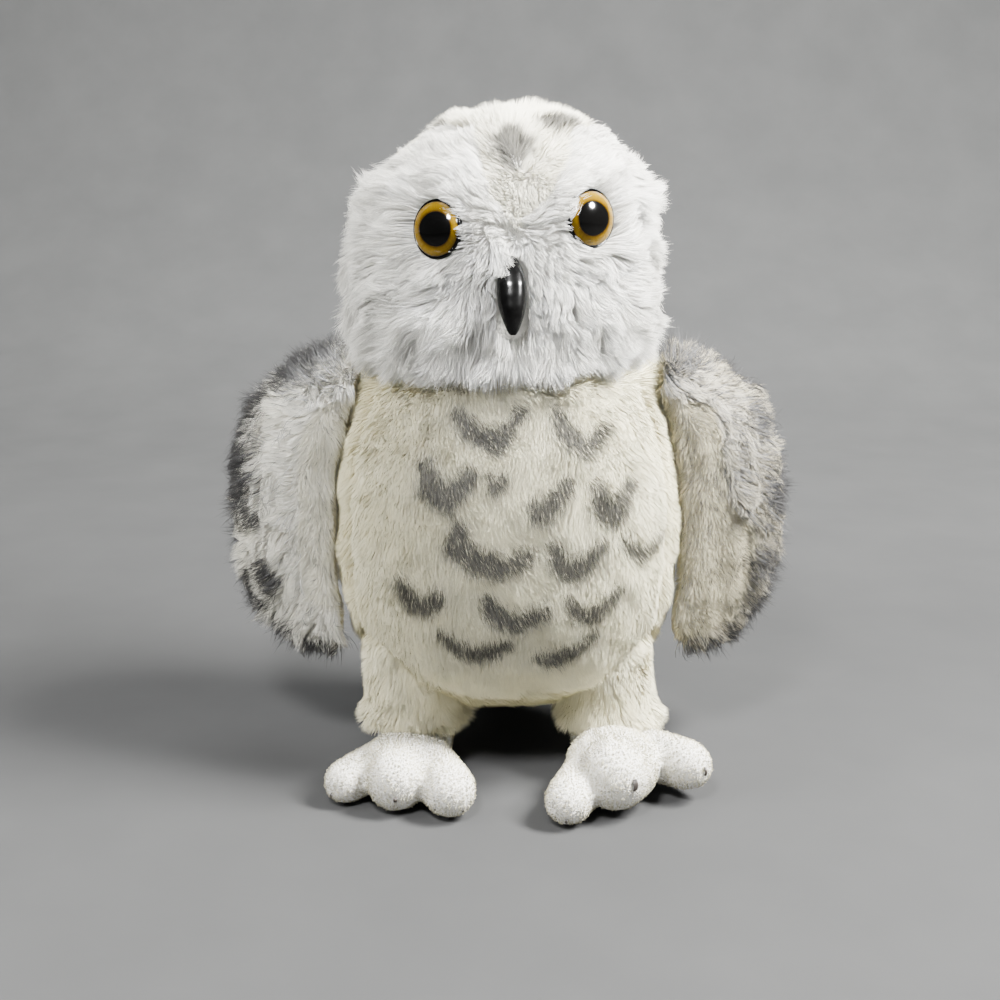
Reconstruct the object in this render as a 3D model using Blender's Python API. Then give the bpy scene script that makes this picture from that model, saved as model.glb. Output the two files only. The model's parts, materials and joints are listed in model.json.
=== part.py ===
"""A standing plush owl, about 290 mm tall without its pile, in metres with +Z up.

It faces -Y and stands on z = 0 on two soft feet and its tail. Fabric panels are thin shells over
separate stuffing. The head turns at the neck seam, the wings lift at the shoulders, and the legs
turn in their sockets. Left and right are those of someone who looks at its face, so left is -X.
"""

import math

import bmesh
import bpy
import numpy as np
from mathutils import Matrix, Vector

# Fabric and fits
FABRIC = 0.0020
SEAM_GAP = 0.0003
STUFFING_GAP = 0.0003
FLOOR_CUT = 0.0005
OVERRUN = 0.020

# Body
BODY_HALF_WIDTH = 0.0765
BODY_FRONT = 0.070
BODY_BACK = 0.062
BODY_BASE_Z = 0.032
NECK_Z = 0.188
NECK_RADIUS = 0.060
BODY_SQUARENESS = 2.3
SIDE_SEAM_DEG = 62.0
BASE_SEAM_SHARE = 0.125
# From the base up: radius, height, pull towards the round neck seam, sideways shift
body_profile_shares = (
    (0.00, 0.000, 0.0, 0.0),
    (0.28, 0.006, 0.0, 0.0),
    (0.52, 0.028, 0.0, 0.0),
    (0.73, 0.080, 0.0, 0.0),
    (0.87, 0.168, 0.0, 0.0),
    (0.95, 0.275, 0.0, 0.0),
    (0.99, 0.390, 0.0, 0.0),
    (1.00, 0.530, 0.0, 0.0),
    (0.99, 0.670, 0.0, 0.0),
    (0.96, 0.790, 0.1, 0.0),
    (0.91, 0.890, 0.3, 0.0),
    (0.85, 0.955, 0.7, 0.0),
    (0.79, 1.000, 1.0, 0.0),
)

# Head
HEAD_HALF_WIDTH = 0.066
HEAD_FRONT = 0.061
HEAD_BACK = 0.063
HEAD_HEIGHT = 0.1037
HEAD_SQUARENESS = 2.3
HEAD_TURN_DEG = 5.0
EAR_SEAM_DEG = 80.0
CROWN_PEAK_HALF_DEG = 30.0
# How far up the side the crown panel starts: above the beak, at the sides, at the nape
crown_seam_shares = (0.43, 0.76, 0.62)
head_profile_shares = (
    (0.91, 0.00, 1.0, 0.00),
    (0.96, 0.04, 0.5, -0.03),
    (0.99, 0.11, 0.0, -0.045),
    (1.00, 0.22, 0.0, -0.045),
    (1.00, 0.34, 0.0, -0.045),
    (0.985, 0.46, 0.0, -0.04),
    (0.95, 0.58, 0.0, -0.03),
    (0.89, 0.69, 0.0, -0.01),
    (0.79, 0.80, 0.0, 0.01),
    (0.65, 0.89, 0.0, 0.04),
    (0.46, 0.955, 0.0, 0.06),
    (0.24, 0.99, 0.0, 0.075),
    (0.00, 1.00, 0.0, 0.08),
)

# Eyes: a black base with a shank, a clear dome in its cup, and a lock washer behind the fabric.
# Their rises are from the neck seam.
EYE_RADIUS = 0.0120
EYE_RIM = 0.0007
EYE_RIM_HEIGHT = 0.0018
EYE_CUP_DEPTH = 0.0008
DOME_HEIGHT = 0.0050
EYE_SINK = 0.0015
EYE_LONGITUDE_DEG = 30.0
EYE_TILT_DEG = 5.0
EYE_RISES = {"left": 0.0603, "right": 0.0641}
EYE_TURNS_DEG = {"left": 40.0, "right": 33.0}
SHANK_RADIUS = 0.0025
SHANK_TIP_SHARE = 0.7
SHANK_LENGTH = 0.0120
WASHER_RADIUS = 0.0075
WASHER_THICKNESS = 0.0015
WASHER_GAP = 0.0006
SEAT_FLAT_MARGIN = 0.004
SEAT_BLEND = 0.020

# Beak, whose top is measured from the neck seam
BEAK_HEIGHT = 0.0310
BEAK_HALF_WIDTH = 0.0062
BEAK_REACH = 0.0135
BEAK_TOP_RISE = 0.0500
BEAK_SHANK_SHARE = 0.42
BEAK_LONGITUDE_DEG = -1.6
# From the top down: height, half width, how far the front and the back stand from the face
beak_section_shares = (
    (0.00, 0.25, 0.10, 0.00),
    (0.05, 0.46, 0.30, 0.00),
    (0.16, 0.74, 0.56, 0.00),
    (0.32, 0.96, 0.80, 0.00),
    (0.48, 1.00, 0.92, 0.00),
    (0.62, 0.92, 0.99, 0.03),
    (0.76, 0.74, 1.00, 0.24),
    (0.88, 0.50, 0.98, 0.50),
    (0.96, 0.32, 0.93, 0.66),
    (1.00, 0.14, 0.86, 0.76),
)

# Legs and feet
LEG_RADIUS = 0.0210
LEG_X = 0.0430
LEG_Y = -0.0220
LEG_TOP_Z = 0.0740
CUFF_Z = 0.0240
SOCKET_GAP = 0.0010
SOCKET_TOP_GAP = 0.0005
CUFF_GAP = 0.0006
LEG_LEANS = {"left": 0.000, "right": 0.004}
# From the cuff up: height and radius
leg_profile_shares = ((0.0, 1.05), (0.05, 1.09), (0.11, 1.08), (0.17, 1.00), (0.75, 0.98), (0.94, 0.95), (1.0, 0.88))
ANKLE_RADIUS = 0.0150
ANKLE_DEPTH_Z = 0.0110
HEEL_RADIUS = 0.0195
HEEL_HEIGHT = 0.0300
HEEL_DROP = 0.0020
TOE_ROOT_Z = 0.0115
LEAN_FROM_SHARE = 0.4
# For each foot's pad: half width, half length, half height, how far ahead of the ankle it lies
INSTEPS = {
    "left": (0.0205, 0.0270, 0.0140, 0.0310),
    "right": (0.0225, 0.0280, 0.0155, 0.0345),
}
# For each toe: where it points from straight ahead, how far it reaches, its radius at the tip and at the
# root, how far its tip lifts. The pad follows the middle one.
TOES = {
    "left": (
        (-36.0, 0.0590, 0.0104, 0.0090, 0.0000),
        (-7.0, 0.0600, 0.0145, 0.0135, 0.0000),
        (19.0, 0.0680, 0.0125, 0.0115, 0.0000),
    ),
    "right": (
        (-20.0, 0.0745, 0.0112, 0.0090, 0.0000),
        (-1.0, 0.0655, 0.0165, 0.0152, 0.0020),
        (42.0, 0.0602, 0.0118, 0.0120, 0.0050),
    ),
}

# Wings, hinged a little below the neck seam
WING_HINGE_DROP = 0.0080
WING_HINGE_Y = -0.0040
WING_LENGTH = 0.1260
WING_ROOT_RADIUS = 0.0066
WING_CHORD = 0.0680
WING_PUFF_OUT = 0.0060
WING_PUFF_IN = 0.0030
WING_CAMBER = 0.0060
PUFF_ACROSS_POWER = 2.4
PUFF_ALONG_POWER = 4
WING_FILL_RIM = 1
# Down the wing: distance, front reach, back reach, lean away from the body, sweep over 45 degrees
WING_FULL_SWEEP_DEG = 45.0
wing_outline_shares = (
    (-0.05, 0.24, 0.22, 0.02, 0.10),
    (0.00, 0.30, 0.36, 0.06, 0.40),
    (0.06, 0.33, 0.48, 0.16, 0.72),
    (0.16, 0.34, 0.57, 0.28, 0.90),
    (0.34, 0.33, 0.62, 0.35, 0.98),
    (0.55, 0.33, 0.63, 0.36, 1.00),
    (0.75, 0.33, 0.62, 0.35, 1.00),
    (0.87, 0.31, 0.56, 0.31, 1.00),
    (0.94, 0.26, 0.45, 0.28, 1.00),
    (0.98, 0.18, 0.31, 0.26, 1.00),
    (1.00, 0.09, 0.14, 0.25, 1.00),
)

# Pellet bag and tail
BAG_HALF_WIDTH = 0.0330
BAG_HALF_DEPTH = 0.0230
BAG_HALF_HEIGHT = 0.0130
BAG_Y = 0.0160
BAG_LIFT = 0.0050
BAG_MOUTH_RADIUS = 0.0110
TAIL_ROOT_Y = 0.0330
TAIL_ROOT_Z = 0.0600
TAIL_TIP_Y = 0.0900
TAIL_HALF_WIDTH = 0.0290
TAIL_HALF_THICKNESS = 0.0085
# From the root to the tip: distance, half width, half thickness
tail_section_shares = (
    (0.00, 0.62, 1.00),
    (0.25, 0.76, 1.00),
    (0.50, 0.92, 0.94),
    (0.72, 1.00, 0.84),
    (0.88, 0.92, 0.68),
    (0.96, 0.72, 0.50),
    (1.00, 0.40, 0.30),
)

# How finely each form is divided
BELLY_COLUMNS = 10
BACK_COLUMNS = 8
BODY_ROWS = 10
BASE_ROWS = 2
BAG_ROWS = 6
FACE_ROWS = 10
CROWN_ROWS = 4
DOME_ROWS = 4
WING_COLUMNS = 7
WING_ROWS = 10
ROUND_SEGMENTS = 16
SHANK_SEGMENTS = 10
LEG_SEGMENTS = 20
FOOT_ROWS = 5
TOE_SEGMENTS = 10
INNER_SEGMENTS = 8
TOE_TIP_ROWS = 3
BEAK_SEGMENTS = 12
TAIL_SEGMENTS = 14
SPLINE_STEPS = 16
SLOPE_STEP = 1e-3
SHARP_DEG = 50.0
TINY = 1e-9
head_column_shares = (0.0, 0.09, 0.19, 0.3, 0.41, 0.53, 0.65, 0.77, 0.89, 1.0)
nape_column_shares = (0.2, 0.4, 0.6, 0.8, 1.0)

SIDES = {"left": -1, "right": 1}
COLOURS = {
    "cream plush": (0.86, 0.83, 0.72),
    "long white pile": (0.92, 0.92, 0.90),
    "speckled wing pile": (0.74, 0.73, 0.70),
    "cream lining": (0.80, 0.76, 0.62),
    "white velour": (0.90, 0.89, 0.86),
    "polyester fibre": (0.95, 0.95, 0.95),
    "calico": (0.84, 0.79, 0.68),
    "black plastic": (0.02, 0.02, 0.02),
    "clear dome": (0.78, 0.52, 0.05),
    "white nylon": (0.88, 0.88, 0.86),
}
SHINY = ("black plastic", "clear dome", "white nylon")
SHINY_ROUGHNESS = 0.2
CLOTH_ROUGHNESS = 0.95


def spline(stations, x):
    """Reads a smooth curve through the stations, whose first value in each is the distance along."""
    table = np.array(stations, float)
    slopes = np.gradient(table, axis=0)
    spans = len(table) - 1
    at = np.interp(x, table[:, 0], np.arange(len(table)))
    i = min(int(at), spans - 1)
    u = (x - table[i, 0]) / (table[i + 1, 0] - table[i, 0])
    gap = table[i + 1, 0] - table[i, 0]
    ramps = slopes[:, 1:] / slopes[:, :1] * gap
    low = (1 + 2 * u) * (1 - u) ** 2 * table[i, 1:] + u * (1 - u) ** 2 * ramps[i]
    high = u * u * (3 - 2 * u) * table[i + 1, 1:] + u * u * (u - 1) * ramps[i + 1]
    return low + high


def blend_out(distance, flat, blend):
    """One within flat, then falling smoothly to zero over blend."""
    x = min(max((distance - flat) / blend, 0.0), 1.0)
    return 1.0 - x * x * (3.0 - 2.0 * x)


class Form:
    """A swelling fabric form: a profile carried round a plan that is squarer than an ellipse."""

    def __init__(self, profile, low, height, plan, squareness, rim_at):
        self.half_width, self.front, self.back = plan
        self.low, self.height, self.squareness, self.rim_at = low, height, squareness, rim_at
        self.seats = []
        knots = [(i, *station) for i, station in enumerate(profile)]
        steps = np.linspace(0, len(knots) - 1, (len(knots) - 1) * SPLINE_STEPS + 1)
        rows = np.array([spline(knots, step) for step in steps])
        rows[:, 0] = np.maximum(rows[:, 0], 0.0)
        across = np.diff(rows[:, 0]) * self.half_width
        along = np.diff(rows[:, 1]) * height
        runs = np.hypot(across, along)
        self.length = float(runs.sum())
        self.at = np.concatenate([[0.0], np.cumsum(runs)]) / self.length
        self.rows = rows

    def share_at(self, z):
        """How far along the profile the height z lies."""
        heights = self.low + self.rows[:, 1] * self.height
        return float(np.interp(z, heights, self.at))

    def plan(self, angle):
        depth = self.front if math.cos(angle) > 0 else self.back
        side = (abs(math.sin(angle)) / self.half_width) ** self.squareness
        ahead = (abs(math.cos(angle)) / depth) ** self.squareness
        return (side + ahead) ** (-1 / self.squareness)

    def radius(self, angle, t):
        wide, _, ring, _ = (np.interp(t, self.at, column) for column in self.rows.T)
        return wide * self.plan(angle) * (1 - ring) + NECK_RADIUS * ring

    def point(self, angle, t):
        t = min(max(t, 0.0), 1.0)
        wide, high, ring, shift = (np.interp(t, self.at, column) for column in self.rows.T)
        reach = wide * self.plan(angle) * (1 - ring) + NECK_RADIUS * ring
        p = Vector(
            (
                reach * math.sin(angle) + shift * self.half_width,
                -reach * math.cos(angle),
                self.low + high * self.height,
            )
        )
        for centre, normal, flat in self.seats:
            away = p - centre
            rise = away.dot(normal)
            p = p - normal * rise * blend_out(away.length, flat, SEAT_BLEND)
        return p

    def normal(self, angle, t):
        if abs(t - self.rim_at) < TINY:
            return Vector((math.sin(angle), -math.cos(angle), 0))
        around = self.point(angle + SLOPE_STEP, t) - self.point(angle - SLOPE_STEP, t)
        upward = self.point(angle, t + SLOPE_STEP) - self.point(angle, t - SLOPE_STEP)
        across = around.cross(upward)
        if abs(t - (1 - self.rim_at)) < TINY:
            return Vector((0, 0, 1 - 2 * self.rim_at))
        return across.normalized()

    def inset(self, angle, t, depth):
        return self.point(angle, t) - self.normal(angle, t) * depth

    def add_seat(self, angle, z, normal, sink, flat):
        """Draws the surface in to a flat under a hard piece, and gives the flat's centre."""
        t = self.share_at(z)
        centre = self.point(angle, t) - self.normal(angle, t) * sink
        self.seats.append((centre, normal, flat))
        return centre


def material(name):
    found = bpy.data.materials.get(name)
    if found:
        return found
    made = bpy.data.materials.new(name)
    made.use_nodes = True
    shader = made.node_tree.nodes["Principled BSDF"]
    shader.inputs["Base Color"].default_value = (*COLOURS[name], 1.0)
    shader.inputs["Roughness"].default_value = SHINY_ROUGHNESS if name in SHINY else CLOTH_ROUGHNESS
    made.diffuse_color = (*COLOURS[name], 1.0)
    return made


def empty(name, place):
    """A parent for one moving body, on its joint's axis."""
    made = bpy.data.objects.new(name, None)
    made.location = place
    bpy.context.scene.collection.objects.link(made)
    return made


def add(name, mesh_parts, finish=None, parent=None, pose=None):
    """Makes an object from points and faces; without a finish it is a hidden cutter."""
    points, faces = mesh_parts
    place = pose or Matrix.Identity(4)
    home = parent.location if parent else Vector((0, 0, 0))
    mesh = bpy.data.meshes.new(name)
    mesh.from_pydata([place @ Vector(p) - home for p in points], [], faces)
    edit = bmesh.new()
    edit.from_mesh(mesh)
    bmesh.ops.remove_doubles(edit, verts=edit.verts, dist=TINY)
    bmesh.ops.recalc_face_normals(edit, faces=edit.faces)
    edit.to_mesh(mesh)
    edit.free()
    mesh.shade_smooth()
    made = bpy.data.objects.new(name, mesh)
    made.parent = parent
    bpy.context.scene.collection.objects.link(made)
    if finish:
        mesh.set_sharp_from_angle(angle=math.radians(SHARP_DEG))
        mesh.materials.append(material(finish))
    else:
        made.hide_render = True
        made.display_type = "WIRE"
    return made


def combine(target, other, operation="DIFFERENCE"):
    boolean = target.modifiers.new(other.name, "BOOLEAN")
    boolean.operation = operation
    boolean.object = other
    boolean.solver = "EXACT"


def strips(index, wrap):
    """Triangles between neighbouring rows of points, all split the same way, so that layers stay parallel.

    A row of one point is a pole.
    """
    faces = []
    for low, high in zip(index, index[1:]):
        count = max(len(low), len(high))
        for i in range(count if wrap else count - 1):
            j = (i + 1) % count
            if len(low) > 1:
                faces.append([low[i], low[j], high[j % len(high)]])
            if len(high) > 1:
                faces.append([low[i % len(low)], high[j], high[i]])
    return faces


def numbered(rows, start=0):
    index = []
    for row in rows:
        index.append(list(range(start, start + len(row))))
        start += len(row)
    return index


def sheet(outer, inner, wrap=False):
    """A closed thin panel between two matching grids of points."""
    out_index = numbered(outer)
    in_index = numbered(inner, out_index[-1][-1] + 1)
    faces = strips(out_index, wrap) + strips(in_index, wrap)
    ends = [(out_index[0], in_index[0]), (out_index[-1], in_index[-1])]
    if not wrap:
        for side in (0, -1):
            ends.append(([row[side] for row in out_index], [row[side] for row in in_index]))
    for k, (out_edge, in_edge) in enumerate(ends):
        if len(out_edge) == 1:
            continue
        count = len(out_edge)
        for i in range(count if wrap and k < 2 else count - 1):
            j = (i + 1) % count
            faces.append([out_edge[i], out_edge[j], in_edge[j], in_edge[i]])
    points = [p for row in (*outer, *inner) for p in row]
    return points, faces


def stack(rings):
    """A closed solid from rings of points; a ring of one point is a pole, and an open end is capped."""
    index = numbered(rings)
    faces = strips(index, True)
    points = [p for ring in rings for p in ring]
    for end in (0, -1):
        if len(rings[end]) > 1:
            middle = sum((Vector(p) for p in rings[end]), Vector((0, 0, 0))) / len(rings[end])
            points.append(middle)
            ring = index[end]
            for i, point in enumerate(ring):
                faces.append([point, ring[(i + 1) % len(ring)], len(points) - 1])
    return points, faces


def turned(profile, segments=ROUND_SEGMENTS):
    """A solid of revolution about Z from (radius, height) pairs, bottom to top."""
    rings = []
    for radius, height in profile:
        if radius < TINY:
            rings.append([Vector((0, 0, height))])
            continue
        angles = [2 * math.pi * i / segments for i in range(segments)]
        rings.append([Vector((radius * math.cos(a), radius * math.sin(a), height)) for a in angles])
    return stack(rings)


def tube(profile_out, profile_in, segments):
    """A turned wall open at both ends."""
    sides = []
    for profile in (profile_out, profile_in):
        angles = [2 * math.pi * i / segments for i in range(segments)]
        sides.append([[Vector((r * math.cos(a), r * math.sin(a), z)) for a in angles] for r, z in profile])
    return sheet(sides[0], sides[1], wrap=True)


def ellipsoid(radii, segments, rows):
    profile = [(math.sin(math.pi * j / rows), -math.cos(math.pi * j / rows)) for j in range(rows + 1)]
    points, faces = turned([(max(r, 0.0) if 0 < j < rows else 0.0, z) for j, (r, z) in enumerate(profile)], segments)
    return [Vector(a * b for a, b in zip(p, radii)) for p in points], faces


def facing(centre, direction):
    """A pose whose +Z points along direction."""
    turn = Vector((0, 0, 1)).rotation_difference(direction).to_matrix().to_4x4()
    return Matrix.Translation(centre) @ turn


def heading(turn_deg, tilt_deg=0.0):
    """A direction that turns from -Y towards +X, and tilts up."""
    turn, tilt = math.radians(turn_deg), math.radians(tilt_deg)
    return Vector((math.sin(turn) * math.cos(tilt), -math.cos(turn) * math.cos(tilt), math.sin(tilt)))


def form_panel(form, columns, limits, rows, wrap=False):
    """Outer and inner grids of a panel; limits gives its lowest and highest share at a longitude."""
    outer, inner = [], []
    for j in range(rows + 1):
        out_row, in_row = [], []
        for angle in columns:
            low, high = limits(angle)
            t = low + (high - low) * j / rows
            out_row.append(form.point(angle, t))
            in_row.append(form.inset(angle, t, FABRIC))
            if abs(t - (1 - form.rim_at)) < TINY:
                break
        outer.append(out_row)
        inner.append(in_row)
    return sheet(outer, inner, wrap)


def seam_angle(form, angle, t):
    """Half a seam's gap as an angle."""
    return SEAM_GAP / 2 / max(form.radius(angle, t), SEAM_GAP)


def between_seams(form, columns, t):
    """The same longitudes, with the two end ones drawn back by half a seam's gap."""
    first = columns[0] + seam_angle(form, columns[0], t)
    last = columns[-1] - seam_angle(form, columns[-1], t)
    return [first, *columns[1:-1], last]


def side_panel(form, columns, limits, rows):
    """A panel between two upright seams whose gap is the same all the way up."""
    outer, inner = [], []
    for j in range(rows + 1):
        out_row, in_row = [], []
        for k, angle in enumerate(columns):
            low, high = limits(angle)
            t = low + (high - low) * j / rows
            drawn = between_seams(form, columns, t)[k]
            out_row.append(form.point(drawn, t))
            in_row.append(form.inset(drawn, t, FABRIC))
        outer.append(out_row)
        inner.append(in_row)
    return sheet(outer, inner)


def clear_scene():
    for item in list(bpy.data.objects):
        bpy.data.objects.remove(item)


def spread(low_deg, high_deg, count):
    return [math.radians(low_deg + (high_deg - low_deg) * i / count) for i in range(count + 1)]


def body_form():
    plan = (BODY_HALF_WIDTH, BODY_FRONT, BODY_BACK)
    return Form(body_profile_shares, BODY_BASE_Z, NECK_Z - BODY_BASE_Z, plan, BODY_SQUARENESS, 1.0)


def body_columns():
    belly = spread(-SIDE_SEAM_DEG, SIDE_SEAM_DEG, BELLY_COLUMNS)
    right = spread(SIDE_SEAM_DEG, 180.0, BACK_COLUMNS)
    left = spread(180.0, 360.0 - SIDE_SEAM_DEG, BACK_COLUMNS)
    return belly, right, left


def body_solid(form, grow):
    """The whole body as one solid, grown by a gap or drawn in by a skin."""
    belly, right, left = body_columns()
    around = [*belly[:-1], *right[:-1], *left[:-1]]
    shares = [BASE_SEAM_SHARE * j / BASE_ROWS for j in range(BASE_ROWS)]
    shares += [BASE_SEAM_SHARE + (1 - BASE_SEAM_SHARE) * j / BODY_ROWS for j in range(BODY_ROWS + 1)]
    rings = [[form.inset(0.0, 0.0, -grow)]]
    rings += [[form.inset(a, t, -grow) for a in around] for t in shares[1:]]
    return stack(rings)


def make_body(form, cutters):
    belly, right, left = body_columns()
    half_gap = SEAM_GAP / 2 / form.length
    low = BASE_SEAM_SHARE + half_gap
    panels = []
    for name, columns in (("belly_panel", belly), ("back_panel_right", right), ("back_panel_left", left)):
        parts = side_panel(form, columns, lambda angle: (low, 1.0), BODY_ROWS)
        panels.append(add(name, parts, "cream plush"))
    around = [*belly[:-1], *right[:-1], *left[:-1]]
    limits = (BASE_SEAM_SHARE - half_gap, 0.0)
    base = form_panel(form, around, lambda angle: limits, BASE_ROWS, wrap=True)
    panels.append(add("base_panel", base, "cream plush"))
    stuffing = add("body_stuffing", body_solid(form, -FABRIC - STUFFING_GAP), "polyester fibre")
    bag_radii = (BAG_HALF_WIDTH, BAG_HALF_DEPTH, BAG_HALF_HEIGHT)
    bag_z = BODY_BASE_Z + FABRIC + BAG_LIFT + BAG_HALF_HEIGHT
    bag_pose = Matrix.Translation((0, BAG_Y, bag_z))
    add("pellet_bag", ellipsoid(bag_radii, ROUND_SEGMENTS, BAG_ROWS), "calico", pose=bag_pose)
    pocket_radii = [radius + STUFFING_GAP for radius in bag_radii]
    pocket = add("bag_pocket", ellipsoid(pocket_radii, ROUND_SEGMENTS, BAG_ROWS), pose=bag_pose)
    mouth = turned([(BAG_MOUTH_RADIUS, -BAG_HALF_HEIGHT - OVERRUN), (BAG_MOUTH_RADIUS, 0)])
    mouth = add("bag_mouth", mouth, pose=bag_pose)
    combine(stuffing, pocket)
    combine(stuffing, mouth)
    for cutter in cutters:
        for piece in (*panels, stuffing):
            combine(piece, cutter)


def socket_cutter(side):
    """The round socket that a leg turns in."""
    radius = LEG_RADIUS + SOCKET_GAP
    profile = [(radius, -OVERRUN), (radius, LEG_TOP_Z + SOCKET_TOP_GAP)]
    pose = Matrix.Translation((SIDES[side] * LEG_X, LEG_Y, 0))
    return add(f"leg_{side}_socket", turned(profile, LEG_SEGMENTS), pose=pose)


def head_form():
    plan = (HEAD_HALF_WIDTH, HEAD_FRONT, HEAD_BACK)
    low = NECK_Z + SEAM_GAP
    return Form(head_profile_shares, low, HEAD_HEIGHT, plan, HEAD_SQUARENESS, 0.0)


def crown_seam(angle):
    """How far up the profile the crown panel's edge runs at a longitude: a peak over the beak."""
    front, side, nape = crown_seam_shares
    turn = abs(math.degrees(math.remainder(angle, 2 * math.pi)))
    peak = max(0.0, 1.0 - turn / CROWN_PEAK_HALF_DEG)
    behind = max(0.0, (turn - EAR_SEAM_DEG) / (180.0 - EAR_SEAM_DEG))
    return side + (front - side) * peak + (nape - side) * behind * behind


def head_columns():
    ear = math.radians(EAR_SEAM_DEG)
    right = [ear * share for share in head_column_shares]
    left = [-angle for angle in reversed(right)]
    nape_right = [ear + (math.pi - ear) * share for share in nape_column_shares]
    nape_left = [2 * math.pi - angle for angle in reversed(nape_right[:-1])]
    return left, right, [right[-1], *nape_right, *nape_left, 2 * math.pi - ear]


def shank_and_washer(name, finish, radius, pose, parent):
    """The lock washer that holds a hard piece from inside, and the cutter for its room."""
    front = -FABRIC - WASHER_GAP
    inner = radius + SEAM_GAP
    outside = [(WASHER_RADIUS, front - WASHER_THICKNESS), (WASHER_RADIUS, front)]
    inside = [(inner, front - WASHER_THICKNESS), (inner, front)]
    add(f"{name}_washer", tube(outside, inside, ROUND_SEGMENTS), finish, parent, pose)
    room = WASHER_RADIUS + STUFFING_GAP
    depth = SHANK_LENGTH + STUFFING_GAP
    pocket = add(f"{name}_pocket", turned([(room, -depth), (room, OVERRUN)]), parent=parent, pose=pose)
    hole = add(f"{name}_hole", turned([(inner, -depth), (inner, OVERRUN)], SHANK_SEGMENTS), parent=parent, pose=pose)
    return pocket, hole


def make_eye(side, pose, parent):
    name = f"eye_{side}"
    cup = EYE_RADIUS - EYE_RIM
    back = SEAM_GAP
    base_profile = [
        (0, -SHANK_LENGTH),
        (SHANK_RADIUS * SHANK_TIP_SHARE, -SHANK_LENGTH),
        (SHANK_RADIUS, -SHANK_LENGTH + SHANK_RADIUS * SHANK_TIP_SHARE),
        (SHANK_RADIUS, back),
        (EYE_RADIUS - EYE_RIM / 2, back),
        (EYE_RADIUS, back + EYE_RIM),
        (EYE_RADIUS, back + EYE_RIM_HEIGHT - EYE_RIM / 2),
        (EYE_RADIUS - EYE_RIM / 2, back + EYE_RIM_HEIGHT),
        (cup, back + EYE_RIM_HEIGHT),
        (cup, back + EYE_CUP_DEPTH),
        (0, back + EYE_CUP_DEPTH),
    ]
    add(f"{name}_base", turned(base_profile), "black plastic", parent, pose)
    dome = cup - SEAM_GAP
    seat = back + EYE_CUP_DEPTH + SEAM_GAP
    edge = EYE_RIM_HEIGHT - EYE_CUP_DEPTH
    profile = [(0, seat), (dome, seat)]
    for j in range(DOME_ROWS):
        lift = math.pi / 2 * j / DOME_ROWS
        profile.append((dome * math.cos(lift), seat + edge + DOME_HEIGHT * math.sin(lift)))
    profile.append((0, seat + edge + DOME_HEIGHT))
    add(f"{name}_dome", turned(profile), "clear dome", parent, pose)
    return shank_and_washer(name, "white nylon", SHANK_RADIUS, pose, parent)


def seat_cutter(name, radius, pose, parent):
    """Trims fabric that would stand in front of a hard piece's flat back."""
    return add(f"{name}_seat", turned([(radius, SEAM_GAP / 2), (radius, OVERRUN)], LEG_SEGMENTS), parent=parent, pose=pose)


def make_beak(pose, parent):
    """A beak lofted from flat-backed sections; in its pose +Z points out of the face."""
    rings = []
    shank_y = -BEAK_HEIGHT * BEAK_SHANK_SHARE
    for down, half, front, behind in beak_section_shares:
        y = -BEAK_HEIGHT * down - shank_y
        low = SEAM_GAP + BEAK_REACH * behind
        deep = SEAM_GAP + BEAK_REACH * front - low
        ring = []
        for i in range(BEAK_SEGMENTS):
            a = 2 * math.pi * i / BEAK_SEGMENTS
            across = BEAK_HALF_WIDTH * half * math.cos(a)
            ring.append(Vector((across, y, low + deep * (0.5 + 0.5 * math.sin(a)))))
        rings.append(ring)
    beak = add("beak", stack(rings), "black plastic", parent, pose)
    shank = turned([(SHANK_RADIUS, -SHANK_LENGTH), (SHANK_RADIUS, BEAK_REACH / 2)], SHANK_SEGMENTS)
    combine(beak, add("beak_shank", shank, parent=parent, pose=pose), "UNION")
    return shank_and_washer("beak", "white nylon", SHANK_RADIUS, pose, parent)


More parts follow.
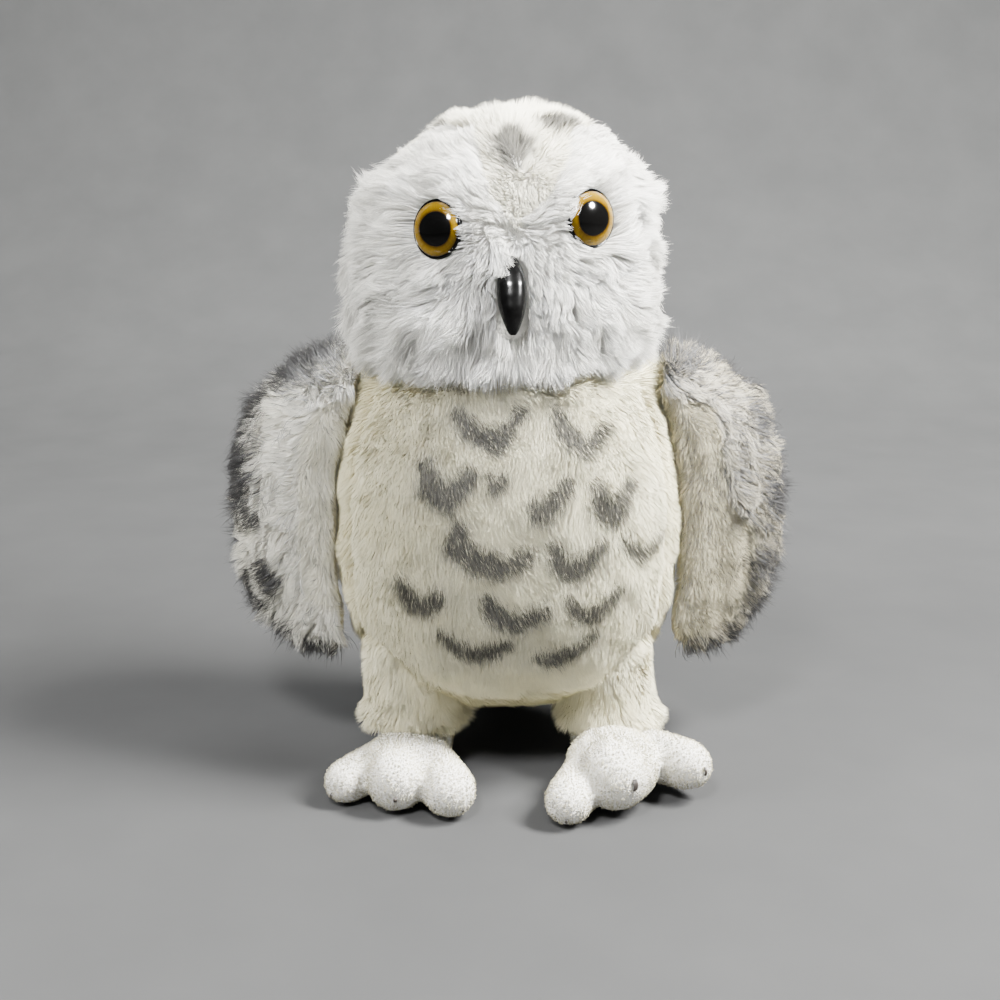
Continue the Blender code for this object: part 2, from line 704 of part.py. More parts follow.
def make_head(parent):
    form = head_form()
    turn = Matrix.Rotation(math.radians(HEAD_TURN_DEG), 4, "Z")
    cuts = []
    pockets = []
    for side, sign in SIDES.items():
        normal = heading(sign * EYE_TURNS_DEG[side], EYE_TILT_DEG)
        angle = sign * math.radians(EYE_LONGITUDE_DEG)
        centre = form.add_seat(angle, NECK_Z + EYE_RISES[side], normal, EYE_SINK, EYE_RADIUS + SEAT_FLAT_MARGIN)
        pose = turn @ facing(centre, normal)
        pocket, hole = make_eye(side, pose, parent)
        pockets.append(pocket)
        cuts += [hole, seat_cutter(f"eye_{side}", EYE_RADIUS + SEAM_GAP, pose, parent)]
    beak_z = NECK_Z + BEAK_TOP_RISE - BEAK_HEIGHT * BEAK_SHANK_SHARE
    beak_angle = math.radians(BEAK_LONGITUDE_DEG)
    centre = form.add_seat(beak_angle, beak_z, heading(0.0), 0.0, BEAK_HALF_WIDTH + SEAT_FLAT_MARGIN)
    upright = Matrix.Rotation(math.radians(90), 4, "X")
    pose = turn @ Matrix.Translation(centre) @ upright
    pocket, hole = make_beak(pose, parent)
    pockets.append(pocket)
    cuts.append(hole)
    cuts.append(seat_cutter("beak", BEAK_HEIGHT / 2, pose, parent))

    left, right, nape = head_columns()
    half_gap = SEAM_GAP / 2 / form.length
    panels = []
    for name, columns, finish in (
        ("face_panel_left", left, "long white pile"),
        ("face_panel_right", right, "long white pile"),
        ("head_back_panel", nape, "cream plush"),
    ):
        parts = side_panel(form, columns, lambda angle: (0.0, crown_seam(angle) - half_gap), FACE_ROWS)
        panels.append(add(name, parts, finish, parent, turn))
    around = [*left[:-1], *right[:-1], *nape[:-1]]
    crown = form_panel(form, around, lambda angle: (crown_seam(angle) + half_gap, 1.0), CROWN_ROWS, wrap=True)
    panels.append(add("crown_panel", crown, "cream plush", parent, turn))
    rings = []
    for j in range(FACE_ROWS + 1):
        shares = [crown_seam(angle) * j / FACE_ROWS for angle in around]
        rings.append([form.inset(a, t, FABRIC + STUFFING_GAP) for a, t in zip(around, shares)])
    for j in range(1, CROWN_ROWS):
        shares = [crown_seam(angle) + (1 - crown_seam(angle)) * j / CROWN_ROWS for angle in around]
        rings.append([form.inset(a, t, FABRIC + STUFFING_GAP) for a, t in zip(around, shares)])
    rings.append([form.inset(0.0, 1.0, FABRIC + STUFFING_GAP)])
    stuffing = add("head_stuffing", stack(rings), "polyester fibre", parent, turn)
    for panel in panels:
        for cutter in cuts if panel.name != "head_back_panel" else []:
            combine(panel, cutter)
    for pocket in pockets:
        combine(stuffing, pocket)


def toe_solid(name, side, toe, shrink, segments, parent):
    """One toe as a teardrop from the ankle to its round tip, drawn in by shrink."""
    turn_deg, reach, tip_radius, root_radius, lift = toe
    ahead = heading(turn_deg)
    centre = Vector((SIDES[side] * LEG_X + LEG_LEANS[side], LEG_Y, 0))
    start = centre + Vector((0, 0, TOE_ROOT_Z))
    end = centre + ahead * (reach - tip_radius) + Vector((0, 0, tip_radius - FLOOR_CUT + lift))
    length = (end - start).length
    root, tip = root_radius - shrink, tip_radius - shrink
    profile = [(root, 0)]
    for j in range(TOE_TIP_ROWS):
        swing = math.pi / 2 * j / TOE_TIP_ROWS
        profile.append((tip * math.cos(swing), length + tip * math.sin(swing)))
    profile.append((0, length + tip))
    return add(name, turned(profile, segments), parent=parent, pose=facing(start, end - start))


def foot_solid(name, side, shrink, segments, parent, finish=None):
    """Heel, instep and toes joined, cut flat on the floor and hollowed out for the cuff that stands on them."""
    ankle = Vector((SIDES[side] * LEG_X + LEG_LEANS[side], LEG_Y, 0))
    heel_radii = [HEEL_RADIUS - shrink, HEEL_RADIUS - shrink, HEEL_HEIGHT / 2 - shrink]
    heel_at = ankle + Vector((0, 0, HEEL_HEIGHT / 2 - HEEL_DROP))
    heel = ellipsoid(heel_radii, segments, FOOT_ROWS)
    foot = add(name, heel, finish, parent, Matrix.Translation(heel_at))
    middle = TOES[side][1]
    *instep_radii, ahead = INSTEPS[side]
    instep_at = ankle + heading(middle[0]) * ahead
    instep_at.z = instep_radii[2] - FLOOR_CUT + middle[4] / 2
    instep_pose = Matrix.Translation(instep_at) @ Matrix.Rotation(math.radians(middle[0]), 4, "Z")
    instep = ellipsoid([radius - shrink for radius in instep_radii], segments, FOOT_ROWS)
    combine(foot, add(f"{name}_instep", instep, parent=parent, pose=instep_pose), "UNION")
    for k, toe in enumerate(TOES[side]):
        combine(foot, toe_solid(f"{name}_toe_{k}", side, toe, shrink, segments, parent), "UNION")
    wide = HEEL_RADIUS + max(toe[1] for toe in TOES[side])
    slab = turned([(wide, shrink), (wide, LEG_TOP_Z)], LEG_SEGMENTS)
    slab_pose = Matrix.Translation(ankle)
    combine(foot, add(f"{name}_slab", slab, parent=parent, pose=slab_pose), "INTERSECT")
    seat_radius = LEG_RADIUS * max(wide for _, wide in leg_profile_shares) + CUFF_GAP + shrink
    seat = turned([(seat_radius, CUFF_Z - SEAM_GAP - shrink), (seat_radius, LEG_TOP_Z)], LEG_SEGMENTS)
    combine(foot, add(f"{name}_cuff_seat", seat, parent=parent, pose=slab_pose))
    return foot


def make_leg(side, parent):
    sign, lean = SIDES[side], LEG_LEANS[side]
    centre = Vector((sign * LEG_X, LEG_Y, 0))
    tall = LEG_TOP_Z - CUFF_Z

    def leaned(parts):
        """Slants what is below the body out to the side, with the top left round in its socket."""
        points, faces = parts
        bend = CUFF_Z + tall * LEAN_FROM_SHARE
        moved = []
        for p in points:
            low = min(max((bend - p[2]) / (bend - CUFF_Z), 0.0), 1.0)
            moved.append(Vector((p[0] + lean * low, p[1], p[2])))
        return moved, faces

    def wall(inset):
        return [(LEG_RADIUS * wide - inset, CUFF_Z + tall * high) for high, wide in leg_profile_shares]

    pose = Matrix.Translation(centre)
    sleeve = leaned(tube(wall(0.0), wall(FABRIC), LEG_SEGMENTS))
    add(f"leg_{side}_sleeve", sleeve, "cream plush", parent, pose)
    neck = ANKLE_RADIUS - STUFFING_GAP
    core = [(neck, ANKLE_DEPTH_Z), (neck, CUFF_Z), *wall(FABRIC + STUFFING_GAP)]
    add(f"leg_{side}_stuffing", leaned(turned(core, LEG_SEGMENTS)), "polyester fibre", parent, pose)

    skin = foot_solid(f"foot_{side}_skin", side, 0.0, TOE_SEGMENTS, parent, "white velour")
    hollow = foot_solid(f"foot_{side}_hollow", side, FABRIC, INNER_SEGMENTS, parent)
    inner = FABRIC + STUFFING_GAP
    stuffing = foot_solid(f"foot_{side}_stuffing", side, inner, INNER_SEGMENTS, parent, "polyester fibre")
    mouth_low = ANKLE_DEPTH_Z - STUFFING_GAP
    mouth = turned([(ANKLE_RADIUS, mouth_low), (ANKLE_RADIUS, CUFF_Z + OVERRUN)], LEG_SEGMENTS)
    ankle = Matrix.Translation(centre + Vector((lean, 0, 0)))
    mouth = add(f"foot_{side}_mouth", mouth, parent=parent, pose=ankle)
    combine(skin, hollow)
    combine(skin, mouth)
    combine(stuffing, mouth)


def wing_hinge(form, side):
    """The shoulder axis, one root radius and a seam's gap off the body's side."""
    t = form.share_at(NECK_Z - WING_HINGE_DROP)
    angle = math.radians(90)
    normal = form.normal(angle, t)
    at = form.point(angle, t) + normal * (WING_ROOT_RADIUS + SEAM_GAP)
    return Vector((SIDES[side] * at.x, WING_HINGE_Y, at.z))


def wing_grid(hinge, side):
    """The wing's middle surface and its outward normals."""
    out = Vector((SIDES[side], 0, 0))
    back = Vector((0, 1, 0))
    down = Vector((0, 0, -1))
    first, last = wing_outline_shares[0][0], wing_outline_shares[-1][0]

    def place(u, v):
        along = first + (last - first) * v
        ahead, behind, lean, sweep = spline(wing_outline_shares, along)
        turn = math.radians(WING_FULL_SWEEP_DEG * sweep)
        chord = out * math.sin(turn) + back * math.cos(turn)
        face = out * math.cos(turn) - back * math.sin(turn)
        reach = (-ahead + (ahead + behind) * u) * WING_CHORD
        bulge = face * WING_CAMBER * math.sin(math.pi * u) * math.sin(math.pi * min(max(v, 0), 1))
        return hinge + down * along * WING_LENGTH + out * lean * WING_CHORD + chord * reach + bulge

    rows, normals = [], []
    step = SLOPE_STEP
    for j in range(WING_ROWS + 1):
        row, row_normals = [], []
        for i in range(WING_COLUMNS + 1):
            u, v = i / WING_COLUMNS, j / WING_ROWS
            v = 0.5 - 0.5 * math.cos(math.pi * v)
            du = place(u + step, v) - place(u - step, v)
            dv = place(u, min(v + step, 1)) - place(u, max(v - step, 0))
            normal = du.cross(dv).normalized()
            row.append(place(u, v))
            row_normals.append(normal if normal.dot(out) > 0 else -normal)
        rows.append(row)
        normals.append(row_normals)
    return rows, normals


def puff(i, j):
    """How far the wing is stuffed out at a grid point: nothing at its seam, one in the middle."""
    across = 1 - abs(2 * i / WING_COLUMNS - 1) ** PUFF_ACROSS_POWER
    along = 1 - abs(2 * j / WING_ROWS - 1) ** PUFF_ALONG_POWER
    return across * along


def make_wing(side, hinge, parent):
    rows, normals = wing_grid(hinge, side)

    def layer(depth_of):
        return [
            [p + n * depth_of(puff(i, j)) for i, (p, n) in enumerate(zip(row, row_normals))]
            for j, (row, row_normals) in enumerate(zip(rows, normals))
        ]

    half = SEAM_GAP / 2
    outer = layer(lambda f: half + FABRIC + WING_PUFF_OUT * f)
    outer_back = layer(lambda f: half + WING_PUFF_OUT * f)
    lining = layer(lambda f: -half - FABRIC - WING_PUFF_IN * f)
    lining_back = layer(lambda f: -half - WING_PUFF_IN * f)
    add(f"wing_{side}_outer", sheet(outer, outer_back), "speckled wing pile", parent)
    add(f"wing_{side}_lining", sheet(lining, lining_back), "cream lining", parent)
    front = layer(lambda f: WING_PUFF_OUT * f - half)
    behind = layer(lambda f: half - WING_PUFF_IN * f)
    keep = slice(WING_FILL_RIM, -WING_FILL_RIM)
    filling = sheet([row[keep] for row in front[keep]], [row[keep] for row in behind[keep]])
    add(f"wing_{side}_filling", filling, "polyester fibre", parent)


def make_tail(form):
    root = Vector((0, TAIL_ROOT_Y, TAIL_ROOT_Z))
    tip = Vector((0, TAIL_TIP_Y, 0))
    along = tip - root
    across = Vector((1, 0, 0))
    up = across.cross(along.normalized())

    def rings(shrink):
        made = []
        for far, wide, thick in tail_section_shares:
            centre = root + along * far * (1 - shrink / along.length)
            ring = []
            for i in range(TAIL_SEGMENTS):
                a = 2 * math.pi * i / TAIL_SEGMENTS
                side = across * (TAIL_HALF_WIDTH * wide - shrink) * math.cos(a)
                ring.append(centre + side + up * (TAIL_HALF_THICKNESS * thick - shrink * thick) * math.sin(a))
            made.append(ring)
        return made

    lowest = min(p.z for ring in rings(0.0) for p in ring)
    settle = Vector((0, 0, -FLOOR_CUT - lowest))
    root, tip = root + settle, tip + settle
    body = add("body_for_tail", body_solid(form, SEAM_GAP))
    floor = add("floor_for_tail", turned([(TAIL_TIP_Y * 2, -OVERRUN * 2), (TAIL_TIP_Y * 2, 0)], LEG_SEGMENTS))
    skin = add("tail_skin", stack(rings(0.0)), "cream plush")
    hollow = rings(FABRIC)
    hollow[0] = [p - along.normalized() * FABRIC for p in hollow[0]]
    combine(skin, add("tail_hollow", stack(hollow)))
    stuffing = add("tail_stuffing", stack(rings(FABRIC + STUFFING_GAP)), "polyester fibre")
    for piece in (skin, stuffing):
        combine(piece, body)
        combine(piece, floor)


def main():
    clear_scene()
    form = body_form()
    make_body(form, [socket_cutter(side) for side in SIDES])
    make_head(empty("neck_axis", (0, 0, NECK_Z)))
    for side in SIDES:
        leg_axis = empty(f"leg_{side}_axis", (SIDES[side] * LEG_X, LEG_Y, LEG_TOP_Z))
        make_leg(side, leg_axis)
        hinge = wing_hinge(form, side)
        make_wing(side, hinge, empty(f"wing_{side}_axis", hinge))
    make_tail(form)


main()
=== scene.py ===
"""Looks of the plush owl: sewn skins filled by cloth pressure, pile made of real strands, eyes, beak, feet.

Lengths are in metres, in the CAD frame: the owl faces -Y, and left is -X. The whole numbers that waves(),
Roots() and the piles take are seeds.
"""
import json
import math
from collections import namedtuple

import bpy
import numpy as np
from mathutils import Matrix, Vector
from mathutils.bvhtree import BVHTree


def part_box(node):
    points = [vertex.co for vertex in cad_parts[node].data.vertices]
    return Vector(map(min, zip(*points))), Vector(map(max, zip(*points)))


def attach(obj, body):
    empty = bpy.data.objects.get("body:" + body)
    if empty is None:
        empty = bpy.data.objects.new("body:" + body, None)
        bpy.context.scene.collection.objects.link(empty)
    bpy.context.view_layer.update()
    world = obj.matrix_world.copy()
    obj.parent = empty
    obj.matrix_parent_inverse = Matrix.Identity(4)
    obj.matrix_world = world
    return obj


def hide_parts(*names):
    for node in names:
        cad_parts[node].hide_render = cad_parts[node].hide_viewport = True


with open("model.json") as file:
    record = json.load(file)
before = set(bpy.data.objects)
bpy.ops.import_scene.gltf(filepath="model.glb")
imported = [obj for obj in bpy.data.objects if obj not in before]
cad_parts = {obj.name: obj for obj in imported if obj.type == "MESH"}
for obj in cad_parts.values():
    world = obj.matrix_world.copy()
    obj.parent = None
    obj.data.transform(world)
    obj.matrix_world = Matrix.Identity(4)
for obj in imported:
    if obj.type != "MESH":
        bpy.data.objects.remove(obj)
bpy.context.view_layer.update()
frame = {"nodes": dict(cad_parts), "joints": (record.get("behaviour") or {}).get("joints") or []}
nodes = frame["nodes"]

MM = 0.001
SIDES = {"left": -1.0, "right": 1.0}
DOWN, FORWARD = np.array([0.0, 0.0, -1.0]), np.array([0.0, -1.0, 0.0])
HEAD_TURN = math.radians(5.0)
LEG_X, LEG_Y, LEG_TOP_Z, SOCKET_RADIUS = 0.043, -0.022, 0.074, 0.0222
SOCKET_MARGIN, SOCKET_TOP_MARGIN = 0.0008, 0.003
NECK_Z = 0.188
SIDE_SEAM = math.radians(62.0)


# ---------------------------------------------------------------- small tools
def unit(v):
    return v / np.maximum(np.linalg.norm(v, axis=-1, keepdims=True), 1e-12)


def smooth(x, low, high):
    t = np.clip((x - low) / (high - low), 0.0, 1.0)
    return t * t * (3.0 - 2.0 * t)


def mix(a, b, t):
    return a * (1.0 - t) + b * t


def bell(*offsets):
    """1 where all offsets are 0, falling off round that place."""
    return np.exp(-sum(offset ** 2 for offset in offsets))


def waves(p, size, seed, count=10):
    """Smooth noise from -1 to 1 as a sum of sine waves about size metres long."""
    rng = np.random.default_rng(seed)
    directions = unit(rng.normal(size=(count, 3)))
    lengths = size * rng.uniform(0.7, 1.5, count)
    phases = rng.uniform(0, 2 * np.pi, count)
    total = np.zeros(len(p))
    for d, length, phase in zip(directions, lengths, phases):
        total += np.sin(p @ d * (2 * np.pi / length) + phase)
    return total / math.sqrt(count / 2) / 1.6


def waves3(p, size, seed):
    return np.stack([waves(p, size, seed + 101 * k) for k in range(3)], axis=1)


def turned_head(p, sign=1.0):
    """Points of the straight head turned with it, or with sign -1 turned back."""
    c, s = math.cos(HEAD_TURN * sign), math.sin(HEAD_TURN * sign)
    return np.stack([p[:, 0] * c - p[:, 1] * s, p[:, 0] * s + p[:, 1] * c, p[:, 2]], axis=1)


def longitude(p):
    return np.arctan2(p[:, 0], -p[:, 1])


def from_leg(p, side):
    """How far each point lies from a leg's upright axis."""
    return np.hypot(p[:, 0] - SIDES[side] * LEG_X, p[:, 1] - LEG_Y)


def linked(name, data):
    """A new object in the scene."""
    made = bpy.data.objects.new(name, data)
    bpy.context.scene.collection.objects.link(made)
    return made


def new_object(name, points, faces):
    mesh = bpy.data.meshes.new(name)
    mesh.from_pydata([tuple(p) for p in points], [], [tuple(f) for f in faces])
    mesh.update()
    mesh.shade_smooth()
    return linked(name, mesh)


def wrapped(rows, around):
    """Faces between rings of points that follow each other, closed at both ends."""
    faces = []
    for j in range(rows):
        for i in range(around):
            k = (i + 1) % around
            faces.append((j * around + i, j * around + k, (j + 1) * around + k, (j + 1) * around + i))
    faces.append(tuple(range(around))[::-1])
    faces.append(tuple(range(rows * around, (rows + 1) * around)))
    return faces


def coords(mesh):
    co = np.zeros(len(mesh.vertices) * 3)
    mesh.vertices.foreach_get("co", co)
    return co.reshape(-1, 3)


def set_coords(mesh, co):
    mesh.vertices.foreach_set("co", np.asarray(co, np.float32).ravel())
    mesh.update()


def vertex_normals(mesh):
    co = np.zeros(len(mesh.vertices) * 3, np.float32)
    mesh.vertex_normals.foreach_get("vector", co)
    return co.reshape(-1, 3).astype(float)


def triangles(mesh):
    mesh.calc_loop_triangles()
    tris = np.zeros(len(mesh.loop_triangles) * 3, int)
    mesh.loop_triangles.foreach_get("vertices", tris)
    return tris.reshape(-1, 3)


def add_attribute(mesh, name, kind, key, values):
    layer = mesh.attributes.new(name, kind, "POINT")
    layer.data.foreach_set(key, values.ravel())


def merged(names):
    """Points and triangles of CAD nodes together, and each triangle's place in names."""
    points, faces, owner, start = [], [], [], 0
    for k, item in enumerate(names):
        mesh = nodes[item].data
        points.append(coords(mesh))
        faces.append(triangles(mesh) + start)
        owner.append(np.full(len(faces[-1]), k))
        start += len(mesh.vertices)
    return np.concatenate(points), np.concatenate(faces), np.concatenate(owner)


def baked(obj):
    """Applies obj's modifiers."""
    graph = bpy.context.evaluated_depsgraph_get()
    mesh = bpy.data.meshes.new_from_object(obj.evaluated_get(graph))
    obj.modifiers.clear()
    old = obj.data
    obj.data = mesh
    bpy.data.meshes.remove(old)
    return obj


def snapped(obj, p, above):
    """The place on a skin nearest to p, a little above it, and the skin's normal there."""
    _, place, normal, _ = obj.closest_point_on_mesh(Vector(p))
    return np.array(place + normal * above), np.array(normal)


# ---------------------------------------------------------------- node materials
def new_material(name, roughness, specular=0.3, sheen=0.0, sheen_roughness=0.5, coat=0.0, coat_roughness=0.03):
    made = bpy.data.materials.new(name)
    made.use_nodes = True
    shader = made.node_tree.nodes["Principled BSDF"]
    for key, value in (("Roughness", roughness), ("Specular IOR Level", specular), ("Sheen Weight", sheen),
                       ("Sheen Roughness", sheen_roughness), ("Coat Weight", coat),
                       ("Coat Roughness", coat_roughness)):
        shader.inputs[key].default_value = value
    return made, made.node_tree, shader


def plug(tree, value, socket):
    """Links an output to a socket, or sets the socket to a constant."""
    if isinstance(value, bpy.types.NodeSocket):
        tree.links.new(value, socket)
    else:
        socket.default_value = (*value, 1.0) if isinstance(value, tuple) else value


def node(tree, kind, **settings):
    """A node whose inputs and properties get the settings of the same name."""
    made = tree.nodes.new(kind)
    for name, value in settings.items():
        if name in made.inputs:
            plug(tree, value, made.inputs[name])
        else:
            setattr(made, name, value)
    return made


def mixed(tree, factor, a, b, blend="MIX"):
    """A colour mix; factor, a and b are sockets or constants."""
    made = node(tree, "ShaderNodeMix", data_type="RGBA", blend_type=blend, clamp_factor=True)
    for k, value in ((0, factor), (6, a), (7, b)):
        plug(tree, value, made.inputs[k])
    return made.outputs[2]


def ramp(tree, factor, stops):
    """A colour ramp of (place, colour) stops; a number stands for a grey."""
    made = tree.nodes.new("ShaderNodeValToRGB")
    elements = made.color_ramp.elements
    while len(elements) < len(stops):
        elements.new(0.5)
    for element, (place, colour) in zip(elements, stops):
        element.position = place
        element.color = (*(colour if isinstance(colour, tuple) else (colour,) * 3), 1.0)
    tree.links.new(factor, made.inputs[0])
    return made.outputs[0]


def noise(tree, scale, detail=3.0, roughness=0.6):
    place = tree.nodes.new("ShaderNodeTexCoord").outputs["Object"]
    made = node(tree, "ShaderNodeTexNoise", Scale=scale, Detail=detail, Roughness=roughness, Vector=place)
    return made.outputs["Fac"]


def add_bump(tree, shader, height, strength, distance):
    bump = node(tree, "ShaderNodeBump", Strength=strength, Distance=distance, Height=height)
    plug(tree, bump.outputs[0], shader.inputs["Normal"])


def fur_channels(tree):
    """Along the strand, its own shade, how much it is marked: the three parts of the fur attribute."""
    colour = node(tree, "ShaderNodeAttribute", attribute_name="fur").outputs["Color"]
    return node(tree, "ShaderNodeSeparateColor", Color=colour).outputs[:3]


def fur_material(name, root, tip, warm, mark, shade_dark=0.86, roughness=0.75, specular=0.25, sheen=0.25):
    """Pile: darker at the root as painted shade deep in the pile, each strand a little lighter or darker, patches of
    a warmer white, dyed marks.
    """
    made, tree, shader = new_material(name, roughness, specular, sheen, 0.4)
    along, shade, dye = fur_channels(tree)
    # Painted shade: the ramp darkens every strand towards its root.
    halfway = tuple(mix(a, b, 0.8) for a, b in zip(root, tip))
    base = ramp(tree, along, [(0.0, root), (0.5, halfway), (1.0, tip)])
    patches = ramp(tree, noise(tree, 30.0, 2.0), [(0.42, 0.0), (0.68, 1.0)])
    base = mixed(tree, patches, base, mixed(tree, 0.5, base, warm))
    base = mixed(tree, 1.0, base, ramp(tree, shade, [(0.0, shade_dark), (1.0, 1.0)]), "MULTIPLY")
    plug(tree, mixed(tree, dye, base, mark), shader.inputs["Base Color"])
    return made


def backing_material(name, colour, dark, mark):
    """The knitted ground under the pile: short fluff in two shades with a fine bump."""
    made, tree, shader = new_material(name, 0.95, 0.1, 0.3, 0.5)
    dye = fur_channels(tree)[2]
    grain = noise(tree, 900.0, 2.0)
    base = ramp(tree, grain, [(0.3, dark), (0.7, colour)])
    plug(tree, mixed(tree, dye, base, mark), shader.inputs["Base Color"])
    add_bump(tree, shader, grain, 0.5, 0.0006)
    return made


GREY_MARK, DARK_MARK = (0.028, 0.026, 0.022), (0.010, 0.009, 0.009)
DULL = {"specular": 0.15, "sheen": 0.08}
plush_look = fur_material("cream plush pile", (0.80, 0.73, 0.47), (0.96, 0.918, 0.69), (0.94, 0.88, 0.60),
                          GREY_MARK, **DULL)
side_look = fur_material("warm cream plush pile", (0.78, 0.70, 0.44), (0.94, 0.89, 0.63), (0.91, 0.84, 0.55),
                         GREY_MARK, **DULL)
crown_look = fur_material("crown pile", (0.84, 0.80, 0.64), (0.965, 0.94, 0.81), (0.95, 0.92, 0.75),
                          GREY_MARK, **DULL)
face_look = fur_material("long white pile", (0.66, 0.645, 0.58), (0.975, 0.967, 0.915), (0.965, 0.95, 0.89),
                         GREY_MARK, 0.54, 0.42, 0.40, 0.10)
# The lining is painted darker and yellower than its cream cloth: painted shade.
shaded_lining_look = fur_material("cream lining pile with painted shade", (0.52, 0.45, 0.26), (0.70, 0.64, 0.43), (0.66, 0.59, 0.37),
                           GREY_MARK)
nap_look = fur_material("white velour nap", (0.36, 0.33, 0.24), (0.79, 0.75, 0.58), (0.71, 0.66, 0.48),
                        GREY_MARK, 0.60, 0.85, 0.2, 0.2)
WING_LOOKS = {  # of each wing's long pile and of the short pile along its front edge
    "left": (fur_material("speckled wing pile", (0.76, 0.71, 0.56), (0.985, 0.97, 0.89), (0.95, 0.92, 0.78),
                          DARK_MARK, 0.74, 0.48, 0.45, 0.2),
             fur_material("short cream wing pile", (0.82, 0.77, 0.60), (0.975, 0.95, 0.82), (0.95, 0.91, 0.74),
                          DARK_MARK)),
    # The right wing's piles are painted darker and greyer than the left's: painted shade, as that wing lies in shade.
    "right": (fur_material("right wing pile with painted shade", (0.20, 0.175, 0.12), (0.45, 0.415, 0.315), (0.37, 0.33, 0.23),
                           DARK_MARK, 0.60, 0.55, 0.35, 0.15),
              fur_material("right short wing pile with painted shade", (0.34, 0.29, 0.17), (0.52, 0.475, 0.325),
                           (0.46, 0.41, 0.26), DARK_MARK))}
plush_ground = backing_material("cream plush ground", (0.84, 0.78, 0.60), (0.74, 0.68, 0.50), GREY_MARK)
white_ground = backing_material("white pile ground", (0.88, 0.87, 0.82), (0.80, 0.79, 0.74), GREY_MARK)
wing_ground = backing_material("wing pile ground", (0.80, 0.77, 0.69), (0.66, 0.63, 0.55), DARK_MARK)


# ---------------------------------------------------------------- skins: remeshed CAD forms blown up as cloth
SKINS = {
    "body_skin": (("belly_panel", "back_panel_left", "back_panel_right", "base_panel", "body_stuffing", "pellet_bag"),
                  "root", "plush", 0.0045, 0.0022, 0.75, plush_ground),
    "head_skin": (("crown_panel", "face_panel_left", "face_panel_right", "head_back_panel", "head_stuffing",
                   "eye_left_washer", "eye_right_washer", "beak_washer"),
                  "head", "pile", 0.0040, 0.0018, 0.8, white_ground),
    "tail_skin_cloth": (("tail_skin", "tail_stuffing"), "root", "plush", 0.0035, 0.0015, 0.6, plush_ground),
}
for side in SIDES:
    SKINS[f"wing_{side}_skin"] = ((f"wing_{side}_outer", f"wing_{side}_lining", f"wing_{side}_filling"),
                                  f"wing_{side}", "wing_pile", 0.0028, 0.0015, 0.4, wing_ground)
    SKINS[f"leg_{side}_skin"] = ((f"leg_{side}_sleeve", f"leg_{side}_stuffing"),
                                 f"leg_{side}", "plush", 0.0030, 0.0012, 0.7, plush_ground)
    SKINS[f"foot_{side}_cloth"] = ((f"foot_{side}_skin", f"foot_{side}_stuffing"),
                                   f"leg_{side}", "velour", 0.0020, 0.0010, 0.7, white_ground)
SHRINK = 0.6  # share of its swell cap by which a skin is made smaller first
CLOTH_STEPS, CLOTH_QUALITY, PRESSURE = 20, 4, 4.0


def remeshed(obj, voxel, shrink):
    """An even closed cloth mesh over the form, a little smaller than it."""
    remesh = obj.modifiers.new("Remesh", "REMESH")
    remesh.mode, remesh.voxel_size = "VOXEL", voxel
    soften = obj.modifiers.new("Soften", "SMOOTH")
    soften.factor, soften.iterations = 0.5, 4
    baked(obj)
    set_coords(obj.data, coords(obj.data) - vertex_normals(obj.data) * shrink)
    return obj


def blow_up(made):
    """Lets cloth pressure fill the skins, each as far as its swell cap."""
    before = {name: coords(obj.data) for name, obj in made.items()}
    for obj in made.values():
        settings = obj.modifiers.new("Cloth", "CLOTH").settings
        settings.use_pressure = True
        settings.uniform_pressure_force = PRESSURE
        settings.effector_weights.gravity = 0.0
        settings.quality = CLOTH_QUALITY
    scene = bpy.context.scene
    for step in range(1, CLOTH_STEPS + 1):
        scene.frame_set(step)
    for name, obj in made.items():
        _, _, _, _, cap, _, _ = SKINS[name]
        baked(obj)
        move = coords(obj.data) - before[name]
        far = np.linalg.norm(move, axis=1, keepdims=True)
        set_coords(obj.data, before[name] + move * np.minimum(1.0, cap / np.maximum(far, 1e-9)))
    scene.frame_set(1)


def make_skins():
    made = {}
    for name, (members, _, _, voxel, cap, _, _) in SKINS.items():
        made[name] = remeshed(new_object(name, *merged(members)[:2]), voxel, cap * SHRINK)
    blow_up(made)
    for obj in made.values():
        obj.modifiers.new("Fine", "SUBSURF").levels = 1
        baked(obj)
        co = coords(obj.data)
        co[:, 2] = np.maximum(co[:, 2], 0.0)
        set_coords(obj.data, co)
        obj.data.shade_smooth()
    return made


skins = make_skins()


# ---------------------------------------------------------------- strands
Pile = namedtuple("Pile", "per_mm2 width short long segments curl droop scatter soft slot")
PILES = {  # short and long are usual lengths, soft is the share of the skin's normal in a strand's shading
    "body": Pile(6.2, 0.00030, 0.0056, 0.0056, 2, 0.08, 0.00, 0.17, 0.80, "plush"),
    "face": Pile(4.4, 0.00025, 0.0078, 0.0160, 4, 0.14, 0.08, 0.15, 0.60, "pile"),
    "crown": Pile(5.8, 0.00031, 0.0056, 0.0092, 2, 0.08, 0.00, 0.12, 0.75, "plush"),
    "leg": Pile(5.8, 0.00031, 0.0068, 0.0068, 2, 0.08, 0.00, 0.12, 0.80, "plush"),
    "tail": Pile(5.4, 0.00031, 0.0056, 0.0056, 2, 0.08, 0.00, 0.12, 0.80, "plush"),
    "wing": Pile(4.8, 0.00030, 0.0100, 0.0138, 3, 0.18, 0.10, 0.16, 0.65, "wing_pile"),
    "guard": Pile(3.0, 0.00028, 0.0105, 0.0175, 4, 0.24, 0.10, 0.25, 0.50, "wing_pile"),
    "lining": Pile(4.6, 0.00032, 0.0044, 0.0044, 2, 0.08, 0.00, 0.12, 0.80, "lining"),
    "nap": Pile(9.5, 0.00036, 0.0013, 0.0013, 1, 0.00, 0.00, 0.12, 0.60, "velour"),
}
MAX_STRAND_FACES = 185000
FLOOR_GAP = 0.0003
BEND = 0.55  # how much more steeply a strand starts than it ends
